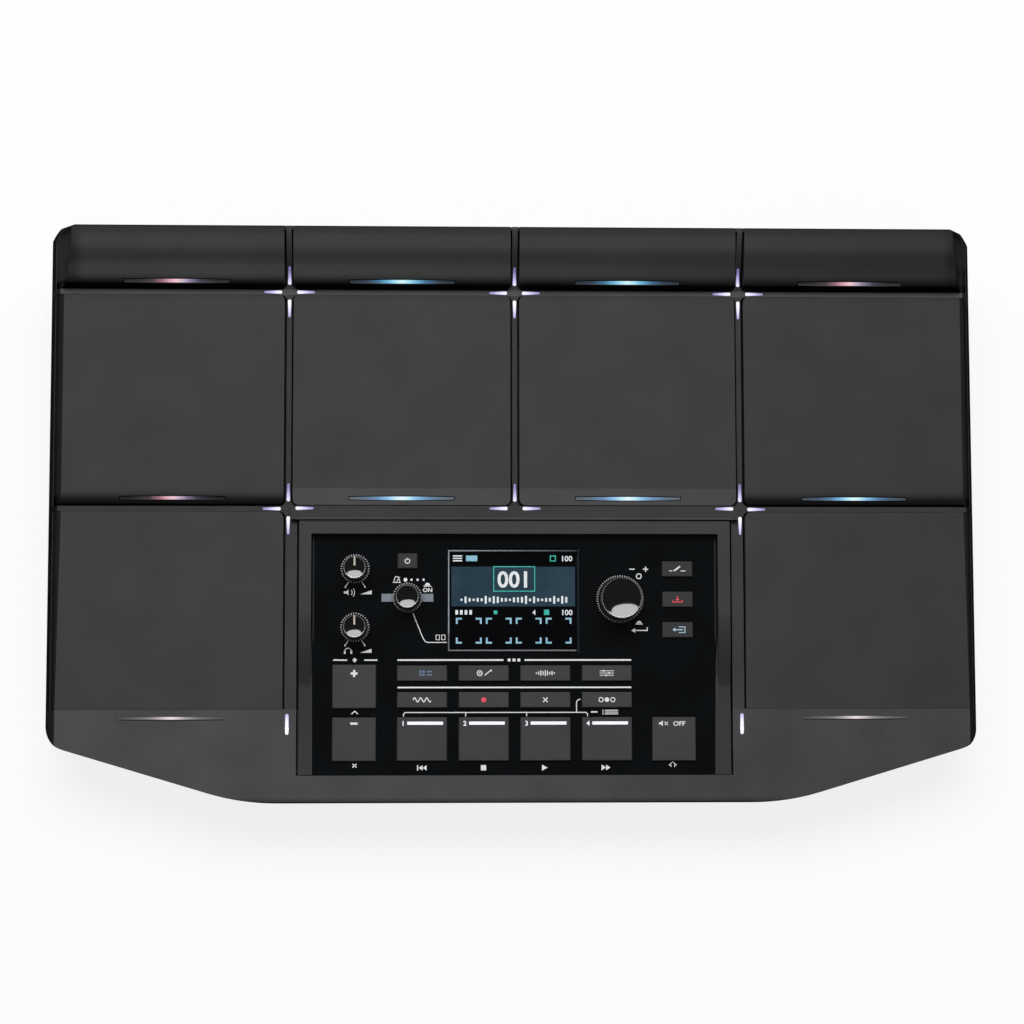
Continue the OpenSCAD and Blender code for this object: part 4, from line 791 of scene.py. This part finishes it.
# ticks and volume signs under the two volume knobs
VOLUME_X, MAIN_Y, PHONES_Y = -79, -29.8, -58.7
for y in (MAIN_Y, PHONES_Y):
    for s in (-1, 1):
        end = (VOLUME_X + s * 4.9, y - 8.9)
        p.line([(VOLUME_X + s * 3.3, y - 6.5), end], 0.4).disc(*end, 0.42, 12)
    ty = y - 11.6
    p.poly((-76.6, ty - 0.9), (-70.8, ty - 0.9), (-70.8, ty + 1.1))
    if y == PHONES_Y:
        p.arc(-82.4, ty - 0.2, 1.6, 0.4, 0, 180).rect(-84, ty - 0.7, 0.9, 1.5).rect(-80.8, ty - 0.7, 0.9, 1.5)
    else:
        p.poly((-84.6, ty - 0.5), (-83.6, ty - 0.5), (-82.3, ty - 1.4),
               (-82.3, ty + 1.4), (-83.6, ty + 0.5), (-84.6, ty + 0.5))
        p.arc(-82.4, ty, 1.9, 0.4, -40, 40, 8).arc(-82.4, ty, 3.1, 0.4, -40, 40, 8)
# beat marks, push signs and the line from the metronome knob
p.line([(-60.2, -36.4), (-59.2, -33.6), (-57.8, -33.6), (-56.8, -36.4), (-60.2, -36.4), (-59.9, -35.6)], 0.4)
p.line([(-58.7, -36.0), (-57.0, -33.8)], 0.35)
for i in range(4):
    p.disc(-54.2 + 3.0 * i, -35.1, 0.95 if i == 0 else 0.6, 14)
for x, y in ((-43.3, -37.9), (61.6, -56.7)):
    half_turn = [math.radians(a) for a in range(0, 181, 15)]
    p.poly(*[(x + 1.3 * math.cos(a), y + 1.3 * math.sin(a)) for a in half_turn])
    p.rect(x, y - 0.35, 3.8, 0.45)
p.text("ON", -43.2, -40.1, 2.1, 1.05)
p.line([(-50.5, -51.6), (-45.5, -63.9), (-44.4, -65.6), (-43.0, -66.1), (-33.7, -66.1)], 0.42)
p.frame(-38.2, -63.6, 2.0, 2.6, 0.3).frame(-35.4, -63.6, 2.0, 2.6, 0.3)
# value and enter signs
p.rect(58.2, -29.8, 2.6, 0.55).rect(65.0, -29.8, 2.6, 0.55).rect(65.0, -29.8, 0.55, 2.6)
p.arc(61.6, -33.3, 1.2, 0.5)
p.line([(65.6, -58.6), (65.6, -60.2), (59.2, -60.2)], 0.5).poly((57.6, -60.2), (59.6, -59.1), (59.6, -61.3))
# small signs in the gaps and under the square keys
p.poly((-79.1, -73.6), (-80.3, -74.8), (-79.1, -76.0), (-77.9, -74.8))
for i in range(3):
    p.rect(-2.9 + 2.4 * i, -74.8, 1.4, 1.4)
p.line([(-80.6, -101.3), (-79.0, -99.9), (-77.4, -101.3)], 0.5)
p.line([(-80.0, -127.5), (-78.0, -125.7)], 0.5).line([(-80.0, -125.7), (-78.0, -127.5)], 0.5)
p.line([(76.9, -127.5), (76.9, -126.5), (76.1, -126.5), (77.8, -125.0),
        (79.5, -126.5), (78.7, -126.5), (78.7, -127.5)], 0.35)
# transport signs
y = -127.7
p.rect(-48.0, y, 0.6, 2.6)
p.poly((-47.6, y), (-45.6, y - 1.3), (-45.6, y + 1.3)).poly((-45.6, y), (-43.6, y - 1.3), (-43.6, y + 1.3))
p.rect(-15.6, y, 2.6, 2.6).poly((13.2, y - 1.5), (16.0, y), (13.2, y + 1.5))
p.poly((42.6, y - 1.4), (44.8, y), (42.6, y + 1.4)).poly((44.8, y - 1.4), (47.0, y), (44.8, y + 1.4))
flat("panel_print", p, PANEL_Z, WHITE)


# Display: a generic screen on the window, and its bright bevel, whose sides carry painted light and shade

DISPLAY_X, DISPLAY_Y = -0.7, -45.4
SCREEN_W, SCREEN_H = 62.0, 48.8
# half width and half height of the bevel
BEVEL_X, BEVEL_Y = 32.05, 24.65

flat("screen_black", Flat().rect(DISPLAY_X, DISPLAY_Y, SCREEN_W, SCREEN_H), WINDOW_Z,
     pixels("screen_black", (0.0004, 0.0005, 0.0007), (0.0008, 0.001, 0.0014)))
z = WINDOW_Z + PRINT
flat("screen_band", Flat().rect(DISPLAY_X, -38.3, 61.4, 19.7), z,
     pixels("screen_band", (0.018, 0.04, 0.06), (0.028, 0.056, 0.078), 0.06))
z += PRINT
teal = Flat().frame(-0.25, -34.5, 20.8, 12.6, 0.45).frame(19.0, -24.3, 3.0, 3.0, 0.5)
teal.rect(15.8, -51.1, 2.6, 2.6).rect(-9.5, -51.1, 1.8, 1.8)
flat("screen_teal", teal, z, pixels("screen_teal", (0.05, 0.42, 0.36), (0.09, 0.55, 0.47)))
white = Flat().text("001", -0.25, -34.5, 8.2).text("100", 25.8, -24.3, 2.7, 1.05)
white.text("100", 25.8, -51.1, 2.7, 1.05).text("4", 9.6, -51.1, 2.4)
for y in (-24.3, -25.5, -23.1):
    white.rect(-28.4, y, 4.6, 0.6)
for i in range(27):
    h = 1.0 + 3.2 * abs(math.sin(1.3 * i) * math.cos(0.37 * i + 0.4))
    white.rect(-26.4 + 2.0 * i, -44.9, 1.0, h)
for i in range(4):
    white.rect(-28.8 + 2.3 * i, -51.1, 1.3, 2.2)
flat("screen_white", white, z, pixels("screen_white", (0.72, 0.76, 0.78), (0.86, 0.88, 0.9)))
blue = Flat().rect(-21.4, -24.3, 5.6, 2.8)
for i in range(4):
    cx = -22.8 + 14.85 * i
    for sx in (-1, 1):
        for sy in (-1, 1):
            ox, oy = cx + sx * 6.4, -60.2 + sy * 6.4
            blue.poly((ox, oy), (ox - sx * 3.0, oy), (ox - sx * 3.0, oy - sy * 0.9),
                      (ox - sx * 0.9, oy - sy * 0.9), (ox - sx * 0.9, oy - sy * 3.0), (ox, oy - sy * 3.0))
flat("screen_blue", blue, z, pixels("screen_blue", (0.22, 0.46, 0.6), (0.34, 0.58, 0.7)))

bevel_verts = []
for grow, zz in ((0.35, PANEL_Z + 0.08), (-0.1, PANEL_Z + 0.08), (-0.4, PANEL_Z - 0.6), (0.0, PANEL_Z - 0.6)):
    w, h = BEVEL_X + grow, BEVEL_Y + grow
    bevel_verts += [(-w, -h, zz), (w, -h, zz), (w, h, zz), (-w, h, zz)]
piece("display_frame", bevel_verts, hoop(4, 4), PAINTED_FRAME, "chassis", (DISPLAY_X, DISPLAY_Y, 0))


# Knobs: toothed skirt, tall cap with a bright edge and a dished top

def lathe(profile, n):
    """Turned mesh: a closed skin from a profile that starts and ends on the axis, and each face's part of it."""
    verts = [(0, 0, profile[0][1])]
    for r, zz in profile[1:-1]:
        verts += [(a, b, zz) for a, b in circle(r, n)]
    verts.append((0, 0, profile[-1][1]))
    faces, index = [], []
    last = len(profile) - 3
    for i in range(n):
        j = (i + 1) % n
        faces.append((0, 1 + j, 1 + i))
        index.append(0)
        for r in range(last):
            a, b = 1 + r * n, 1 + (r + 1) * n
            faces.append((a + i, a + j, b + j, b + i))
            index.append(r + 1)
        faces.append((len(verts) - 1, 1 + last * n + i, 1 + last * n + j))
        index.append(last + 1)
    return verts, faces, index


# Knobs in mm: underside, top, top of the skirt, reach of the skirt and of the teeth's root and tip past the cap,
# width of the bright edge
KNOB_LOW, KNOB_TOP, SKIRT = -0.1, 12.9, 2.1
SKIRT_OUT, ROOT_OUT, TIP_OUT = 0.75, 0.7, 1.55
KNOB_RIM = 0.6
# slope of the dished top at its edge in degrees, and sides of the turned mesh
DISH, KNOB_SIDES = 24, 72


def knob(node, at, d, pointer, teeth):
    """A knob whose cap is d wide, in place of its CAD node. A volume knob also has a pointer in its dish."""
    r, top, face = d / 2, KNOB_TOP, KNOB_TOP - 0.05
    root, tip = r + ROOT_OUT, r + TIP_OUT
    dish = r - KNOB_RIM
    bend = dish / math.sin(math.radians(DISH))
    sag = bend * (1 - math.cos(math.radians(DISH)))
    profile = [(0, KNOB_LOW), (r + SKIRT_OUT, KNOB_LOW), (r + SKIRT_OUT, SKIRT), (r, SKIRT),
               (r - 0.05, top - 0.6), (r - 0.12, top - 0.3), (r - 0.32, face), (dish, face)]
    for k in range(1, 10):
        a = math.radians(DISH * (1 - k / 10))
        profile.append((bend * math.sin(a), face - sag + bend * (1 - math.cos(a))))
    profile.append((0, face - sag))
    verts, faces, index = lathe(profile, KNOB_SIDES)
    # parts 5 and 6 of the profile are the bright edge
    index = [1 if i in (5, 6) else 0 for i in index]
    # the teeth are light grey as a painted highlight on each tooth
    tooth = ((root, KNOB_LOW), (tip, KNOB_LOW), (tip, SKIRT - 0.3), (tip - 0.3, SKIRT), (root, SKIRT))
    step = 2 * math.pi / teeth
    for t in range(teeth):
        k = len(verts)
        for rr, zz in tooth:
            for a in (t - 0.2, t + 0.2):
                verts.append((rr * math.cos(a * step), rr * math.sin(a * step), zz))
        for i in range(5):
            j = (i + 1) % 5
            faces.append((k + 2 * i, k + 2 * j, k + 2 * j + 1, k + 2 * i + 1))
            index.append(2)
        faces += [tuple(k + 2 * i for i in range(4, -1, -1)), tuple(k + 2 * i + 1 for i in range(5))]
        index += [2, 2]
    o = piece(node + "_cap", verts, faces, [MATS["knob_plastic"], KNOB_EDGE, KNOB_TEETH_HIGHLIGHT], node, (*at, 0),
              index=index, sharp=30)
    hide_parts(node)
    if pointer:
        mark = []
        for k in range(7):
            yy = 0.9 + (r - 1.15) * k / 6
            rim = min(yy, dish)
            zz = top - sag + bend - math.sqrt(bend * bend - rim * rim)
            mark.append((yy, zz))
        section = ((-0.42, -0.3), (-0.42, 0.06), (0.42, 0.06), (0.42, -0.3))
        pv = [(xx, yy, zz + up) for yy, zz in mark for xx, up in section]
        pf = [(3, 2, 1, 0), tuple(len(pv) - 4 + i for i in (0, 1, 2, 3))]
        for k in range(6):
            for i in range(4):
                j = (i + 1) % 4
                pf.append((4 * k + i, 4 * k + j, 4 * k + 4 + j, 4 * k + 4 + i))
        piece(node + "_pointer", pv, pf, CREAM, node, (*at, 0))


knob("main_volume_knob", (VOLUME_X, MAIN_Y), 11.3, True, 34)
knob("phones_knob", (VOLUME_X, PHONES_Y), 11.3, True, 34)
knob("metronome_knob", (-53.2, -44), 11.6, False, 35)
knob("value_knob", (52, -44.7), 20.3, False, 60)


# Back: nuts on the phone jacks, with a knurled rim

NUT = ((5.15, 0.0), (7.4, 0.0), (7.4, 0.55), (7.0, 0.95), (5.5, 0.95), (5.15, 0.6))
NUT_SIDES = 36
GRIP, GRIP_FROM = 0.18, 6.9
JACK_X, JACK_PITCH = 44, 26

nut_verts = []
for rr, yy in NUT:
    for k in range(NUT_SIDES):
        a = 2 * math.pi * k / NUT_SIDES
        grip = GRIP if rr > GRIP_FROM and k % 2 else 0.0
        nut_verts.append(((rr - grip) * math.cos(a), yy, (rr - grip) * math.sin(a)))
nut_faces = [(b, a, d, c) for a, b, c, d in hoop(len(NUT), NUT_SIDES)]
for i in range(6):
    spot = (JACK_X + JACK_PITCH * i, REAR_WALL_Y, SOCKET_Z)
    piece("jack_nut_%d" % (i + 1), nut_verts, nut_faces, NUT_METAL, "chassis", spot, base=WORLD)

# contacts of the two MIDI sockets, dark in the core
contacts = Flat()
for i in range(5):
    a = math.radians(45 * i)
    contacts.disc(3.75 * math.cos(a), 3.75 * math.sin(a), 0.75, 16)
contacts.rect(0, -4.6, 2.2, 0.9)
CONTACT = gloss("contact_dark", (0.001, 0.001, 0.0012), 0.4, 0.2, 0.0)
BACKWARD = Matrix.Rotation(math.pi, 4, "Z") @ Matrix.Rotation(math.pi / 2, 4, "X")
for i, x in enumerate((-24, -51)):
    verts, faces = contacts.build()
    spot = Matrix.Translation(Vector((x, REAR_WALL_Y - 0.2, SOCKET_Z)) * MM)
    piece("midi_contacts_%d" % (i + 1), verts, faces, CONTACT, "chassis", base=spot @ BACKWARD)


# Small solids that close seams and gaps

def prism(name, near, far, flip, mat, body):
    """A closed solid between two outlines of equally many points. A mirrored one has its faces turned."""
    n = len(near)
    faces = [tuple(range(n - 1, -1, -1)), tuple(range(n, 2 * n))]
    faces += [(i, (i + 1) % n, (i + 1) % n + n, i + n) for i in range(n)]
    if flip:
        faces = [f[::-1] for f in faces]
    return piece(name, near + far, faces, mat, body)


# the seam in front of the lower pads: a soft lip of the pad
LIP = ((-98.87, -2.4), (-98.52, -2.4), (-98.52, 0.0), (-98.87, -0.01))
for side, sx in (("left", -1), ("right", 1)):
    near = [(sx * 114.45, y, z) for y, z in LIP]
    far = [(sx * (225.6 - 0.6 * z), y, z) for y, z in LIP]
    prism("lower_pad_%s_lip" % side, near, far, sx < 0, MATS["pad_rubber"], "lower_pad_" + side)

# the rails: a low lip of the hood widens each one towards the front
RAIL_X = 100.58
for side, sx, reach in (("left", -1, 0.8), ("right", 1, 1.8)):
    rim = ((RAIL_X - reach, -131.05), (RAIL_X, -131.05), (RAIL_X, -62.0), (RAIL_X - 0.62 * reach, -75.0))
    near, far = ([(sx * x, y, z) for x, y in rim] for z in (-0.98, -0.02))
    prism("hood_lip_" + side, near, far, sx < 0, MATS["hood_plastic"], "chassis")

# the gaps beside the strips: a small web of the case at the rear edge
WEB = ((138.3, -2.0), (140.8, -2.0), (140.3, 8.6), (139.9, 9.2), (138.3, 9.7))
WEB_SPOTS = [(strip, side) for strip in (-STRIP_X, 0.0, STRIP_X) for side in (-1, 1)]
for i, (strip, side) in enumerate(WEB_SPOTS):
    near, far = ([(strip + side * x, y, z) for y, z in WEB] for x in (1.28, 2.1))
    prism("rear_web_%d" % (i + 1), near, far, side < 0, MATS["case_plastic"], "chassis")


# Camera, light and stage

def turn(axis, degrees):
    return Matrix.Rotation(math.radians(degrees), 3, axis)


# the view of the photograph, against the deck frame: its turn, and the deck's origin as the camera sees it, in mm
VIEW = turn("X", -5.1375) @ turn("Y", 2.0695) @ turn("Z", 0.0938)
ORIGIN_SEEN = Vector((1.406, 1.439, -1201.66))
eye = -(VIEW.transposed() @ ORIGIN_SEEN)
camera = bpy.data.cameras.new("camera")
camera.lens = 85.08
camera.sensor_width = 36
camera.sensor_fit = "HORIZONTAL"
camera.clip_start = 0.05
camera.clip_end = 60
shot = bpy.data.objects.new("camera", camera)
shot.matrix_world = DECK @ Matrix.Translation(eye * MM) @ VIEW.transposed().to_4x4()
scene.collection.objects.link(shot)
scene.camera = shot

LAMP_AIM = (0, 0, 0.05)


def lamp(name, at, size, power):
    data = bpy.data.lights.new(name, "AREA")
    data.shape = "ELLIPSE"
    data.size, data.size_y = size
    data.energy = power
    o = bpy.data.objects.new(name, data)
    o.location = at
    o.rotation_euler = (Vector(LAMP_AIM) - Vector(at)).to_track_quat("-Z", "Y").to_euler()
    scene.collection.objects.link(o)
    return o


lamp("key", (-0.1, 1.3, 2.45), (3.2, 1.7), 80)
lamp("fill", (0.6, -2.0, 2.2), (1.5, 1.0), 4).visible_glossy = False


def seen_rays(tree, also=None):
    """1 for rays that show the background: straight, through clear pieces, or mirrored, where `also` is a factor."""
    path = tree.nodes.new("ShaderNodeLightPath").outputs
    mirrored = path["Is Glossy Ray"]
    if also:
        mirrored = add_node(tree, "ShaderNodeMath", {0: mirrored, 1: also}, operation="MULTIPLY")
    direct = add_node(tree, "ShaderNodeMath", {0: path["Is Camera Ray"], 1: path["Is Transmission Ray"]},
                      operation="MAXIMUM")
    return add_node(tree, "ShaderNodeMath", {0: direct, 1: mirrored}, operation="MAXIMUM")


# world: white to the eye, and faint as light on the object
AMBIENT = 0.08
WHITE_LIGHT = (1, 1, 1, 1)
scene.world = bpy.data.worlds.new("studio")
scene.world.use_nodes = True
wt = scene.world.node_tree
back = wt.nodes["Background"]
# the studio's ceiling stays dark in reflections, its walls are white
way = add_node(wt, "ShaderNodeTexCoord", out="Generated")
up = add_node(wt, "ShaderNodeSeparateXYZ", {0: way}, out=2)
wall = add_node(wt, "ShaderNodeMapRange", {0: up, 1: 0.3, 2: 0.6, 3: 1.0, 4: 0.0})
strength = add_node(wt, "ShaderNodeMapRange", {0: seen_rays(wt, wall), 3: AMBIENT, 4: 1.0})
back.inputs[0].default_value = WHITE_LIGHT
wt.links.new(strength, back.inputs[1])

# floor: pale to the eye, but it throws little light back on the object
FLOOR_GLOW = 0.84
FLOOR_BOUNCE = 0.2
bpy.ops.mesh.primitive_plane_add(size=24, location=(0, 0, 0))
floor = bpy.context.object
floor.name = "floor"
ground = bpy.data.materials.new("floor")
ground.use_nodes = True
gt = ground.node_tree
gt.nodes.clear()
seen = seen_rays(gt)
cover = add_node(gt, "ShaderNodeMapRange", {0: seen, 3: FLOOR_BOUNCE, 4: 1.0})
plain = add_node(gt, "ShaderNodeBsdfDiffuse", {0: cover})
lit = add_node(gt, "ShaderNodeEmission", {0: WHITE_LIGHT, 1: 1.0})
share = add_node(gt, "ShaderNodeMath", {0: seen, 1: FLOOR_GLOW}, operation="MULTIPLY")
both = add_node(gt, "ShaderNodeMixShader", {0: share, 1: plain, 2: lit})
gt.links.new(both, gt.nodes.new("ShaderNodeOutputMaterial").inputs[0])
floor.data.materials.append(ground)

scene.view_settings.view_transform = "Standard"
